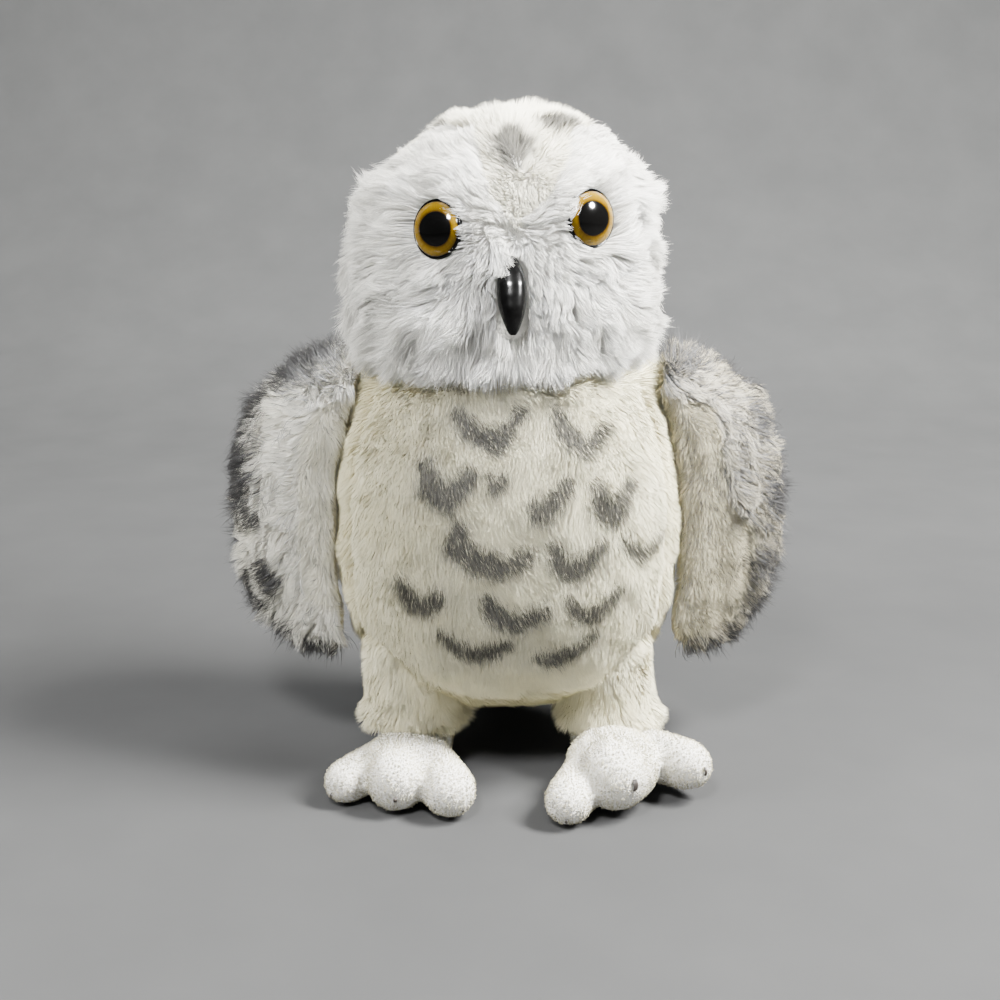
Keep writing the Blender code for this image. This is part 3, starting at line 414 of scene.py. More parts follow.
GATHER = 1.6  # how late along the strands their tufts gather
CURL_SIZE, CURL_TURN = 0.012, 1.3
ROOT_DEPTH = 0.0004
ROLL, TAPER, ROUNDED = 1.15, 0.75, 0.35  # of ribbons: turn about their line, narrowing, tilt of their normals


class Roots:
    """Evenly scattered points on a skin for a pile to stand on, with the skin's normals there."""

    def __init__(self, skin, pile, seed, keep=None):
        rng = np.random.default_rng(seed)
        self.pile, self.body = PILES[pile], SKINS[skin][1]
        mesh = skins[skin].data
        co, normals, tris = coords(mesh), vertex_normals(mesh), triangles(mesh)
        a, b, c = co[tris[:, 0]], co[tris[:, 1]], co[tris[:, 2]]
        area = np.linalg.norm(np.cross(b - a, c - a), axis=1) / 2
        weight = area * (1.0 if keep is None else keep((a + b + c) / 3, unit(np.cross(b - a, c - a))))
        count = int(weight.sum() * self.pile.per_mm2 * 1e6)
        pick = np.searchsorted(np.cumsum(weight), (np.arange(count) + rng.random(count)) / count * weight.sum())
        pick = np.minimum(pick, len(tris) - 1)
        u, v = np.sqrt(rng.random(count)), rng.random(count)
        shares = np.stack([1 - u, u * (1 - v), u * v], axis=1)[:, :, None]
        self.p = (co[tris[pick]] * shares).sum(1)
        self.n = unit((normals[tris[pick]] * shares).sum(1))
        self.rng = rng

    def keep(self, mask):
        self.p, self.n = self.p[mask], self.n[mask]

    def between(self, low, high):
        """A random number for each root."""
        return self.rng.uniform(low, high, len(self.p))

    def shade(self):
        return self.rng.random(len(self.p)) ** 0.7

    def tufted_shade(self, size, seed):
        """Light and dark from tuft to tuft and from strand to strand, from 0 to 1."""
        return np.clip(0.62 + 0.42 * waves(self.p, size, seed) + self.between(-0.45, 0.45), 0, 1)


def laid(flow, n):
    """The part of a direction that lies along the skin."""
    return unit(flow - n * (flow * n).sum(1, keepdims=True))


def clumped(p, tips, size, pull, seed):
    """Draws the tips of neighbouring strands together into tufts."""
    warped = p + waves3(p, size * 5, seed) * size * 0.8
    _, group = np.unique(np.floor(warped / size).astype(int), axis=0, return_inverse=True)
    group = group.ravel()
    count = np.bincount(group)
    middle = np.stack([np.bincount(group, tips[:, k]) for k in range(3)], axis=1) / count[:, None]
    return (middle[group] - tips) * np.reshape(pull, (-1, 1))


def strand_curves(roots, flow, lift, length, tufts, seed):
    """Curves from the skin, (N, segments + 1, 3): they start steeply, bend over to lie, and end in tufts.

    tufts holds each kind's size and how far it draws the tips together.
    """
    p, n, pile = roots.p, roots.n, roots.pile
    lie = laid(laid(flow, n) + roots.rng.normal(0, pile.scatter, p.shape), n)
    lift, length = (np.broadcast_to(np.asarray(v, float), (len(p),))[:, None] for v in (lift, length))
    steep = np.clip(lift + (1 - lift) * BEND, 0, 1)
    start = unit(lie * (1 - steep) + n * steep)
    end = unit(lie * (1 - lift) + n * lift + DOWN * pile.droop)
    tips = p + length * (start + end) / 2
    pulls = np.zeros_like(p)
    for k, (size, pull) in enumerate(tufts):
        pulls = pulls + clumped(p, tips, size, pull, seed + 7 * k)
    wave = waves3(p, CURL_SIZE, seed + 50) * pile.curl if pile.curl else 0.0
    rings = []
    for s in (k / pile.segments for k in range(pile.segments + 1)):
        q = p - n * ROOT_DEPTH + length * (start * (s - s * s / 2) + end * (s * s / 2))
        rings.append(q + pulls * s ** GATHER + wave * length * math.sin(s * math.pi * CURL_TURN) * s)
    return np.stack(rings, axis=1)


def strand_objects(name, roots, curves, shade, look, seed, mark=None, keep=slice(None)):
    """Ribbons along the curves, turned at random about them, in pieces that aren't too big.

    shade is each strand's lightness, mark the dye at its rings, and keep picks the strands.
    """
    pile, normals, curves = roots.pile, roots.n[keep], curves[keep].copy()
    count, rings = curves.shape[:2]
    curves[:, :, 2] = np.maximum(curves[:, :, 2], FLOOR_GAP)
    along = unit(np.gradient(curves, axis=1))
    flat = unit(np.cross(along, normals[:, None, :]))
    roll = np.random.default_rng(seed).uniform(-ROLL, ROLL, count)[:, None, None]
    across = flat * np.cos(roll) + np.cross(flat, along) * np.sin(roll)
    face = unit(np.cross(across, along) * (1 - pile.soft) + normals[:, None, :] * pile.soft)
    shares = np.linspace(0, 1, rings)
    half = (pile.width / 2 * (1 - shares ** 2 * TAPER))[:, None]
    per = pile.segments * 2 + 1
    points, shading = np.empty((2, count, per, 3), np.float32)
    for first, sign in ((0, -1.0), (1, 1.0)):
        points[:, first:-1:2] = (curves + across * half * sign)[:, :-1]
        shading[:, first:-1:2] = (face + across * ROUNDED * sign)[:, :-1]
    points[:, -1], shading[:, -1] = curves[:, -1], face[:, -1]
    ring = np.minimum(np.arange(per) // 2, pile.segments)
    colour = np.ones((count, per, 4), np.float32)
    colour[:, :, 0] = shares[ring]
    colour[:, :, 1] = shade[keep, None]
    colour[:, :, 2] = 0.0 if mark is None else mark[keep][:, ring]
    faces = [tri for a in range(0, per - 3, 2) for tri in ((a, a + 1, a + 3), (a, a + 3, a + 2))]
    faces = np.array(faces + [(per - 3, per - 2, per - 1)])
    # One small cell of the texture for each strand: the root at the bottom, the tip at the top
    cell = [(0.1 + 0.8 * (k % 2), 0.06 + 0.88 * (k // 2) / pile.segments) for k in range(per - 1)] + [(0.5, 0.94)]
    middle = curves.mean((0, 1))
    order = np.argsort(np.arctan2(curves[:, 0, 0] - middle[0], -(curves[:, 0, 1] - middle[1])), kind="stable")
    pieces = max(1, math.ceil(count * len(faces) / MAX_STRAND_FACES))
    for index, chosen in enumerate(np.array_split(order, pieces)):
        total = len(chosen)
        corners = (faces[None] + (np.arange(total) * per)[:, None, None]).ravel()
        mesh = bpy.data.meshes.new(f"{name}_{index}")
        mesh.vertices.add(total * per)
        mesh.vertices.foreach_set("co", points[chosen].ravel())
        mesh.loops.add(len(corners))
        mesh.loops.foreach_set("vertex_index", corners.astype(np.int32))
        mesh.polygons.add(len(corners) // 3)
        mesh.polygons.foreach_set("loop_start", np.arange(0, len(corners), 3, dtype=np.int32))
        mesh.polygons.foreach_set("use_smooth", np.ones(len(corners) // 3, bool))
        grid = math.ceil(math.sqrt(total))
        spot = np.arange(total)
        uv = (np.stack([spot % grid, spot // grid], axis=1)[:, None, :] + np.array(cell)[None]) / grid
        layer = mesh.uv_layers.new(name="OFBake")
        layer.uv.foreach_set("vector", uv.reshape(-1, 2)[corners].ravel().astype(np.float32))
        add_attribute(mesh, "fur", "FLOAT_COLOR", "color", colour[chosen])
        mesh.update()
        mesh.validate()
        add_attribute(mesh, "custom_normal", "FLOAT_VECTOR", "vector", unit(shading[chosen]))
        mesh.materials.append(look)
        obj = linked(f"{name}_{index}", mesh)
        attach(obj, roots.body)


def plain_pile(name, roots, flow, lift, length, tufts, seed, look):
    """Undyed strands of one look."""
    curves = strand_curves(roots, flow, lift, length, tufts, seed)
    strand_objects(name, roots, curves, roots.shade(), look, seed + 1)


# ---------------------------------------------------------------- grey feather marks on the front
MARKS = [  # each stroke's half width and its points on the belly, in mm
    (2.4, [(-21, -60, 174), (-15.4, -62, 167), (-5.6, -64, 162.5), (4.5, -61.5, 175)]),
    (2.4, [(19.5, -59.5, 174), (24, -60, 165), (32.5, -59, 159.5), (40.5, -54, 167)]),
    (3.0, [(-34, -61, 152), (-32, -63, 144), (-25.8, -66, 139.5), (-16, -66, 149)]),
    (1.7, [(-7.5, -67, 149.5), (-6, -67.6, 144.5), (-1.5, -67, 149)]),
    (2.5, [(10, -69, 138), (14.2, -68.7, 133.5), (25, -65, 146)]),
    (2.7, [(37, -61.5, 143), (39, -61, 134), (43.4, -60.2, 131), (51, -53.5, 143)]),
    (2.8, [(-21, -67.8, 128), (-21.8, -68, 118.5), (-11, -69, 113.5), (-3.5, -69.7, 111), (7.6, -69.6, 115.5)]),
    (2.7, [(19, -68.4, 119), (22, -68, 112), (27.8, -66.6, 108.5), (38.4, -63, 118.5)]),
    (1.8, [(48, -57.5, 118), (56.4, -51.4, 111.5), (66, -39.7, 119)]),
    (2.3, [(-46.5, -59, 101), (-42, -61, 93), (-34.4, -63.4, 92), (-29, -66, 98)]),
    (2.3, [(-9, -68.8, 96.5), (-5, -68.5, 89), (4.5, -68.2, 86.5), (16, -68, 92)]),
    (2.2, [(25.5, -66.3, 95.5), (30, -64, 90), (36, -62.6, 88.5), (47, -58, 97)]),
    (2.0, [(-28, -63.8, 79.5), (-20, -64.5, 73), (-12, -64.8, 71), (0, -66.5, 76.5)]),
    (2.0, [(12, -64.2, 69.5), (23.5, -62.1, 68.5), (37, -60.3, 79)]),
]
MARK_HEIGHT = 0.0012
MARKED_Y = -0.02  # only pile in front of it is dyed
MARK_FADE = (0.5, 2.6)  # between these shares of its half width a stroke fades away
HAZE, HAZE_FADE = 0.15, (0.003, 0.013)
WHITE_HAIRS = 0.06  # their share among dyed ones
GROUND_DYE = {"belly": 0.85, "wing": 0.6}


def dyed(p, strokes, seed):
    """How much each point is dyed: strokes that are widest in their middle, fade softly and have a faint haze."""
    ragged = waves(p, 0.007, seed) * 0.30 + waves(p, 0.003, seed + 1) * 0.20
    best = np.zeros(len(p))
    for half, line in strokes:
        q = np.array(line) * MM
        near, relative = np.full(len(p), 1e3), np.full(len(p), 1e3)
        for j, (a, b) in enumerate(zip(q, q[1:])):
            t = np.clip(((p - a) @ (b - a)) / ((b - a) @ (b - a)), 0, 1)
            far = np.linalg.norm(p - a - t[:, None] * (b - a), axis=1)
            thick = half * MM * (0.85 + 0.50 * np.sin(np.pi * (j + t) / (len(q) - 1)))
            near, relative = np.minimum(near, far), np.minimum(relative, far / thick)
        best = np.maximum(best, 1 - smooth(relative + ragged, *MARK_FADE))
        best = np.maximum(best, HAZE * (1 - smooth(near, *HAZE_FADE)))
    return best


def snapped_strokes(skin, strokes, above):
    """The same strokes laid on a skin, a little above it."""
    return [(half, [snapped(skin, np.array(q) * MM, above)[0] / MM for q in line]) for half, line in strokes]


def dyed_strands(curves, p, rng, strokes, seed):
    """The dye on each strand's rings: a little weaker at the root, with a few white hairs."""
    middle = mix(p, curves[:, curves.shape[1] // 2], 0.6) + rng.normal(0, 0.0011, (len(p), 3))
    mark = np.minimum(1.3 * dyed(middle, strokes, seed), 1.0) * rng.uniform(0.90, 1.0, len(p))
    mark = np.where(rng.random(len(p)) < WHITE_HAIRS, mark * 0.25, mark)
    return mark[:, None] * np.linspace(0.9, 1.0, curves.shape[1])[None]


def paint(skin, values=0.0):
    """Gives a skin its fur attribute, so its ground has the pile's marks."""
    mesh = skins[skin].data
    colour = np.ones((len(mesh.vertices), 4), np.float32)
    colour[:, 2] = values
    add_attribute(mesh, "fur", "FLOAT_COLOR", "color", colour)


def in_socket(p):
    near = [from_leg(p, side) < SOCKET_RADIUS + SOCKET_MARGIN for side in SIDES]
    return np.any(near, axis=0) & (p[:, 2] < LEG_TOP_Z + SOCKET_TOP_MARGIN)


def body_fur():
    skin = skins["body_skin"]
    co = coords(skin.data)
    paint("body_skin", dyed(co, snapped_strokes(skin, MARKS, 0.0), 5) * (co[:, 1] < MARKED_Y) * GROUND_DYE["belly"])
    marks = snapped_strokes(skin, MARKS, MARK_HEIGHT)

    def covered(p, n):
        """More strands on the belly than behind it, none under the head or in the leg sockets."""
        open_place = ((p[:, 2] < NECK_Z - 0.004) | (np.hypot(p[:, 0], p[:, 1]) > 0.045)) & ~in_socket(p)
        return open_place * np.where(np.abs(longitude(p)) < SIDE_SEAM + 0.6, 1.0, 0.72)

    roots = Roots("body_skin", "body", 11, covered)
    roots.keep(~in_socket(roots.p))
    p, n = roots.p, roots.n
    x, y, z = p.T
    around = np.abs(longitude(p))
    front = around < SIDE_SEAM
    flow = np.tile(DOWN, (len(p), 1))
    # The belly's pile is brushed aside on its left half
    flow[:, 0] += 0.6 * smooth(0.040 - x, 0.0, 0.05) * smooth(-y, 0.0, 0.04)
    flow += waves3(p, 0.05, 21) * 0.24 + waves3(p, 0.015, 22) * 0.10
    # Under the belly the pile runs out of the middle
    flow += p * (1.0, 1.0, 0.0) / 0.04 * smooth(-n[:, 2], 0.2, 0.9)[:, None]
    seam = bell((around - SIDE_SEAM) * 0.075 / 0.0022)
    shoulder = bell((np.abs(x) - 0.066) / 0.012, (z - 0.178) / 0.014, y / 0.03)
    neck = smooth(z, 0.177, 0.187)
    side = smooth(around, math.radians(52), math.radians(72))
    length = roots.pile.short * (1 + 0.18 * waves(p, 0.02, 23))
    length = length * (1 - 0.35 * seam + 0.6 * shoulder + (0.60 + 0.1 * side) * neck + 0.22 * side)
    length = length * roots.between(0.72, 1.15)
    lift = 0.34 + 0.07 * waves(p, 0.012, 24) + 0.12 * shoulder + (0.30 + 0.2 * side) * neck + 0.02 * side
    curves = strand_curves(roots, flow, np.clip(lift, 0.08, 0.85), length, [(0.0045, 0.07), (0.0018, 0.08)], 25)
    mark = np.zeros(curves.shape[:2])
    near = y < MARKED_Y
    mark[near] = dyed_strands(curves[near], p[near], roots.rng, marks, 5)
    shade = roots.shade()
    for keep, name, look in ((front, "belly_pile", plush_look), (~front, "back_pile", side_look)):
        strand_objects(name, roots, curves, shade, look, 26, mark, keep)


# ---------------------------------------------------------------- head
def axis_of(node_name):
    """The middle of a turned CAD piece's back and the direction in which it faces."""
    co = coords(nodes[node_name].data)
    middle = co.mean(0)
    values, vectors = np.linalg.eigh(np.cov((co - middle).T))
    gaps = np.abs(np.diff(values))
    axis = vectors[:, 2] if gaps[1] > gaps[0] else vectors[:, 0]
    axis = axis if axis @ FORWARD > 0 else -axis
    return middle + axis * ((co - middle) @ axis).min(), axis


EYES = {side: axis_of(f"eye_{side}_dome") for side in SIDES}
EYE_CLEAR_RADIUS, EYE_CLEAR_DEPTH = 0.0124, 0.020
BEAK_LOW, BEAK_HIGH = (np.array(v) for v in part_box("beak"))
BEAK_X = (BEAK_LOW[0] + BEAK_HIGH[0]) / 2
BEAK_CLEAR_RADIUS, BEAK_CLEAR_DEPTH = 0.0072, 0.03
FACE_MIDDLE = np.array([0.0035, -0.058, 0.2440])
HEAD_PILE_Z = NECK_Z + 0.001
TUFT_LENGTH = 0.0145
SHORTEST = 0.22  # share of a cut strand's length below which it is left out
HAIR_ASTRAY = 0.05
SPOTS = [  # as MARKS, on the crown
    (3.8, [(1.0, -43, 270.5), (1.3, -38, 276), (1.6, -33, 281)]),
    (4.2, [(19, -28, 282.5), (21, -24, 285.5), (25, -20, 285)]),
    (3.0, [(-26, -14, 284), (-27, -11, 284)]), (3.4, [(36, -10, 284.5), (37, -7, 284.5)]),
    (3.4, [(6, 14, 291), (9, 16, 290)]), (3.4, [(-16, 22, 288), (-18, 25, 286)]),
    (3.4, [(30, 24, 285), (32, 27, 283)])]
SPOT_HEIGHT = 0.0040


def is_face(p):
    """Whether each point lies nearest to a face panel, of the head's four panels."""
    points, faces, owner = merged(("face_panel_left", "face_panel_right", "crown_panel", "head_back_panel"))
    tree = BVHTree.FromPolygons(points.tolist(), faces.tolist())
    return np.array([owner[tree.find_nearest(q)[2]] for q in p.tolist()]) < 2


def stop_short(curves, centre, axis, radius, depth, allow):
    """The share of each strand at which it first comes before a hard piece's face, or 1."""
    steps = curves.shape[1] - 1
    cut = np.ones(len(curves))
    for s in np.linspace(0, 1, steps * 4 + 1)[::-1]:
        i = min(int(s * steps), steps - 1)
        rel = mix(curves[:, i], curves[:, i + 1], s * steps - i) - centre
        high = rel @ axis
        off = np.linalg.norm(rel - high[:, None] * axis, axis=1)
        cut = np.where((off < radius - allow) & (high > -0.004) & (high < depth), s, cut)
    return cut


def shortened(curves, cut):
    """The same curves ended at a share of their length."""
    steps = curves.shape[1] - 1
    rows = np.arange(len(curves))
    made = []
    for k in range(steps + 1):
        s = cut * k
        i = np.minimum(s.astype(int), steps - 1)
        made.append(mix(curves[rows, i], curves[rows, i + 1], (s - i)[:, None]))
    return np.stack(made, axis=1)


def face_fur():
    """Long white pile of the two face panels."""
    roots = Roots("head_skin", "face", 31, lambda p, n: is_face(p) & (p[:, 2] > HEAD_PILE_Z))
    p, n, rng = roots.p, roots.n, roots.rng
    x, _, z = p.T
    beside = smooth(np.degrees(np.abs(longitude(turned_head(p, -1.0)))), 52, 88)
    chin, low = smooth(0.206 - z, 0.0, 0.014), smooth(0.222 - z, 0, 0.018)
    flow = p - FACE_MIDDLE
    flow[:, 1] *= 0.6
    flow = unit(flow)
    flow[:, 2] -= 1.2 * bell((x - BEAK_X) / 0.015) * smooth(0.252 - z, 0.0, 0.014)
    flow[:, 0] += np.sign(x - BEAK_X) * 0.30 * smooth(z, 0.246, 0.262)
    flow += (waves3(p, 0.028, 32) * 0.42 + waves3(p, 0.010, 33) * 0.30) * (1 - 0.65 * low)[:, None]
    # A tuft falls over the beak's top left
    tuft = bell((x - BEAK_X + 0.0060) / 0.0050, (z - BEAK_HIGH[2] - 0.0030) / 0.0060)
    in_tuft = smooth(tuft, 0.2, 0.6)
    flow = mix(flow, np.array([0.42, 0.0, -1.0]), in_tuft[:, None])
    # The pile parts round the eyes
    for centre, _ in EYES.values():
        off = p - centre
        far = np.linalg.norm(off, axis=1)
        toward = np.clip(-(flow * off).sum(1) / far, 0, None) * bell((far - 0.011) / 0.008) * (far > 0.009)
        inner = off[:, 0] * np.sign(centre[0] - BEAK_X) < 0
        flow += off / far[:, None] * (toward * np.where(inner, 0.35, 0.8))[:, None]
    length = mix(roots.pile.short, roots.pile.long, smooth(np.linalg.norm(p - FACE_MIDDLE, axis=1), 0.010, 0.045))
    length = length * mix(1.0, 0.82, chin) * mix(1.0, 0.80, beside) * mix(1.0, 0.78, smooth(x, 0.045, 0.062))
    length = length * (1 - 0.32 * smooth(z, 0.260, 0.275))
    corner = bell((z - 0.260) / 0.011) * smooth(np.abs(x), 0.030, 0.044)
    length = length * (1 + 0.15 * corner)
    length = mix(length, TUFT_LENGTH, in_tuft) * (1 + 0.2 * waves(p, 0.014, 34)) * roots.between(0.65, 1.1)
    top = smooth(z, 0.262, 0.285)
    lift = 0.27 + 0.17 * waves(p, 0.016, 35) - 0.08 * top + 0.22 * chin + 0.20 * tuft + 0.16 * corner
    lift = np.clip(lift + rng.normal(0, 0.05, len(p)), 0.06, 0.75) * mix(1.0, 0.6, beside)
    astray = rng.random(len(p)) < HAIR_ASTRAY
    length, lift = length * np.where(astray, 1.25, 1.0), np.where(astray, np.maximum(lift, 0.45), lift)
    tufts = [(0.0056, 0.40 * (1 - 0.6 * low)), (0.0020, 0.30 * (1 - 0.4 * low))]
    curves = strand_curves(roots, flow, lift, length, tufts, 36)
    cut = np.ones(len(p))
    for side, (centre, axis) in EYES.items():
        # Hair may reach over the rim on the side towards the beak
        inward = ((x - centre[0]) * SIDES[side] < -0.0085) & (z < centre[2] + 0.006)
        allow = np.where(inward, 0.0016, 0.0002) + np.where(inward, 0.0036, 0.0006) * roots.between(0, 1) ** 1.8
        cut = np.minimum(cut, stop_short(curves, centre, axis, EYE_CLEAR_RADIUS, EYE_CLEAR_DEPTH, allow))
    for height in np.linspace(BEAK_LOW[2] + 0.004, BEAK_HIGH[2] - 0.007, 6):
        allow = 0.0012 * roots.between(0, 1) + 0.009 * smooth(tuft, 0.15, 0.4)
        centre = np.array([BEAK_X, -0.058, height])
        cut = np.minimum(cut, stop_short(curves, centre, FORWARD, BEAK_CLEAR_RADIUS, BEAK_CLEAR_DEPTH, allow))
    # The chin's pile is shaded as if it faced upwards more
    roots.n = unit(n + np.array([0.0, -0.25, 0.55]) * chin[:, None])
    strand_objects("face_pile", roots, shortened(curves, cut), roots.tufted_shade(0.0035, 38), face_look, 37,
                   keep=cut > SHORTEST)


def crown_fur():
    """Short cream pile of the crown and of the back of the head."""
    def covered(p, n):
        return (~is_face(p) & (p[:, 2] > HEAD_PILE_Z)) * np.where(p[:, 1] > 0.02, 0.75, 1.0)

    roots = Roots("head_skin", "crown", 41, covered)
    p = roots.p
    x, y, z = turned_head(p, -1.0).T
    flow = np.stack([x * 2.0, np.maximum(y, -0.02) + 0.03, -0.036 * (y > -0.01)], axis=1)
    flow = unit(flow) + waves3(p, 0.03, 42) * 0.35 + waves3(p, 0.010, 43) * 0.28
    flow[:, 2] -= smooth(np.hypot(x, y), 0.030, 0.055)
    top = smooth(z, 0.268, 0.286) * (1 - 0.8 * smooth(np.abs(p[:, 0]), 0.020, 0.036))
    length = mix(roots.pile.short, roots.pile.long, top) * (1 + 0.18 * waves(p, 0.02, 44)) * roots.between(0.75, 1.15)
    hem = 1 - smooth(z, 0.190, 0.204)
    lift = np.clip(0.32 + 0.10 * waves(p, 0.012, 45) + 0.30 * top + 0.30 * hem, 0.1, 0.85)
    curves = strand_curves(roots, flow, lift, length * (1 + 0.5 * hem), [(0.0040, 0.28), (0.0016, 0.25)], 46)
    # The spots lie in the pile's surface, so each ring of a strand is dyed by where it is
    spots = snapped_strokes(skins["head_skin"], SPOTS, SPOT_HEIGHT)
    upper = [np.minimum(1.6 * dyed(curves[:, k], spots, 47), 1.0) for k in (1, 2)]
    mark = np.stack([upper[0]] + upper, axis=1) * roots.between(0.84, 1.0)[:, None]
    strand_objects("crown_pile", roots, curves, roots.shade(), crown_look, 48, mark)


# ---------------------------------------------------------------- legs, tail
LEG_PILE_Z = (0.0235, 0.066)


def leg_fur(side):
    paint(f"leg_{side}_skin")

    def covered(p, n):
        return (p[:, 2] > LEG_PILE_Z[0]) & (p[:, 2] < LEG_PILE_Z[1]) & (n[:, 2] > -0.75)

    roots = Roots(f"leg_{side}_skin", "leg", 51 + int(SIDES[side]), covered)
    p = roots.p
    hem = 1 - smooth(p[:, 2], 0.026, 0.040)
    flow = DOWN + waves3(p, 0.03, 52) * 0.32 + waves3(p, 0.010, 53) * 0.28
    length = roots.pile.short * (1 + 0.2 * waves(p, 0.02, 54)) * (1 + 0.15 * hem) * roots.between(0.7, 1.15)
    lift = np.clip(0.33 + 0.14 * waves(p, 0.012, 55) + 0.08 * hem, 0.08, 0.8)
    plain_pile(f"leg_{side}_pile", roots, flow, lift, length, [(0.0044, 0.30), (0.0018, 0.24)], 56, plush_look)


def tail_fur():
    paint("tail_skin_cloth")
    roots = Roots("tail_skin_cloth", "tail", 61)
    p = roots.p
    flow = np.array([0.0, 0.75, -0.6]) + waves3(p, 0.03, 62) * 0.3 + waves3(p, 0.010, 63) * 0.28
    lift = np.clip(0.28 + 0.13 * waves(p, 0.012, 64), 0.1, 0.8)
    plain_pile("tail_pile", roots, flow, lift, roots.pile.short * roots.between(0.75, 1.15),
               [(0.0036, 0.32), (0.0014, 0.32)], 65, side_look)


# ---------------------------------------------------------------- wings
WING_LENGTH, WING_CHORD, WING_SWEEP = 0.126, 0.068, np.radians(45.0)
WING_OUTLINE = np.array([  # down the wing: distance, front reach, back reach, lean, share of the sweep
    (-0.05, 0.24, 0.22, 0.02, 0.10), (0.00, 0.30, 0.36, 0.06, 0.40), (0.06, 0.33, 0.48, 0.16, 0.72),
    (0.16, 0.34, 0.57, 0.28, 0.90), (0.34, 0.33, 0.62, 0.35, 0.98), (0.55, 0.33, 0.63, 0.36, 1.00),
    (0.75, 0.33, 0.62, 0.35, 1.00), (0.87, 0.31, 0.56, 0.31, 1.00), (0.94, 0.26, 0.45, 0.28, 1.00),
    (0.98, 0.18, 0.31, 0.26, 1.00), (1.00, 0.09, 0.14, 0.25, 1.00)])
DARK_PLACES = {  # black-tipped hair: place across and down the wing, reach across and down, share of the hairs
    "left": [(0.72, 0.00, 0.42, 0.07, 1.30), (0.25, 0.00, 0.30, 0.04, 0.55), (0.92, 0.26, 0.22, 0.18, 1.30),
             (0.82, 0.39, 0.24, 0.12, 1.35), (1.00, 0.62, 0.12, 0.16, 0.90), (0.55, 0.52, 0.09, 0.05, 0.50),
             (0.47, 0.73, 0.08, 0.05, 1.40), (0.89, 0.84, 0.20, 0.07, 1.25), (0.53, 0.93, 0.25, 0.04, 0.55),
             (0.30, 0.99, 0.60, 0.05, 1.20)],
    "right": [(0.25, -0.03, 0.50, 0.035, 1.00), (0.96, 0.12, 0.14, 0.13, 0.95), (0.70, 0.19, 0.12, 0.06, 0.80),
              (0.98, 0.36, 0.14, 0.07, 1.40), (0.24, 0.36, 0.10, 0.05, 0.50), (0.84, 0.44, 0.18, 0.09, 1.25),
              (0.55, 0.70, 0.35, 0.06, 0.60), (0.93, 0.74, 0.18, 0.08, 1.10), (0.92, 0.88, 0.22, 0.09, 1.50),
              # Of these, (0.35, 1.00) along the bottom edge is partly black hair and partly painted shade under the
              # wing.
              (0.78, 0.96, 0.18, 0.05, 1.40), (0.35, 1.00, 0.55, 0.05, 1.25)]}
DARK_ELSEWHERE = {"left": 0.035, "right": 0.10}
EDGE_LENGTH = 0.0046  # of the short pile along the front edge
WING_SEEDS = {"left": 70, "right": 90}


def wing_place(p, side):
    """Places across the wing, from its front edge (0) to its back edge (1), and down it (0 to 1).

    With them come the directions to the back edge and outwards.
    """
    sign = SIDES[side]
    hinge = np.array(next(j for j in frame["joints"] if j["name"] == f"wing_{side}_lift")["pos_m"])
    down = (hinge[2] - p[:, 2]) / WING_LENGTH
    ahead, behind, lean, sweep = (np.interp(down, WING_OUTLINE[:, 0], WING_OUTLINE[:, k]) for k in range(1, 5))
    turn, none = WING_SWEEP * sweep, np.zeros(len(p))
    chord = np.stack([sign * np.sin(turn), np.cos(turn), none], axis=1)
    face = np.stack([sign * np.cos(turn), -np.sin(turn), none], axis=1)
    middle = hinge[None] + np.stack([sign * lean * WING_CHORD, none, -down * WING_LENGTH], axis=1)
    reach = ((p - middle) * chord).sum(1) / WING_CHORD
    return (reach + ahead) / (ahead + behind), down, chord, face


def smooth_zone(u, v, side):
    """1 where the wing's front edge shows the short cream lining instead of long hair."""
    edge, last = (0.27 + 0.28 * smooth(v, 0.40, 0.62), 0.96) if side == "right" else (0.20, 0.84)
    edge = edge * smooth(v, 0.02, 0.12) * (1 - smooth(v, last - 0.06, last + 0.03))
    return 1 - smooth(u, edge - 0.07, edge + 0.07)


def darkness(u, v, side):
    """The share of hairs with black tips."""
    best = np.full(len(u), DARK_ELSEWHERE[side])
    for across, down, wide, tall, share in DARK_PLACES[side]:
        best = np.maximum(best, share * bell((u - across) / wide, (v - down) / tall))
    return np.minimum(best, 1.0)


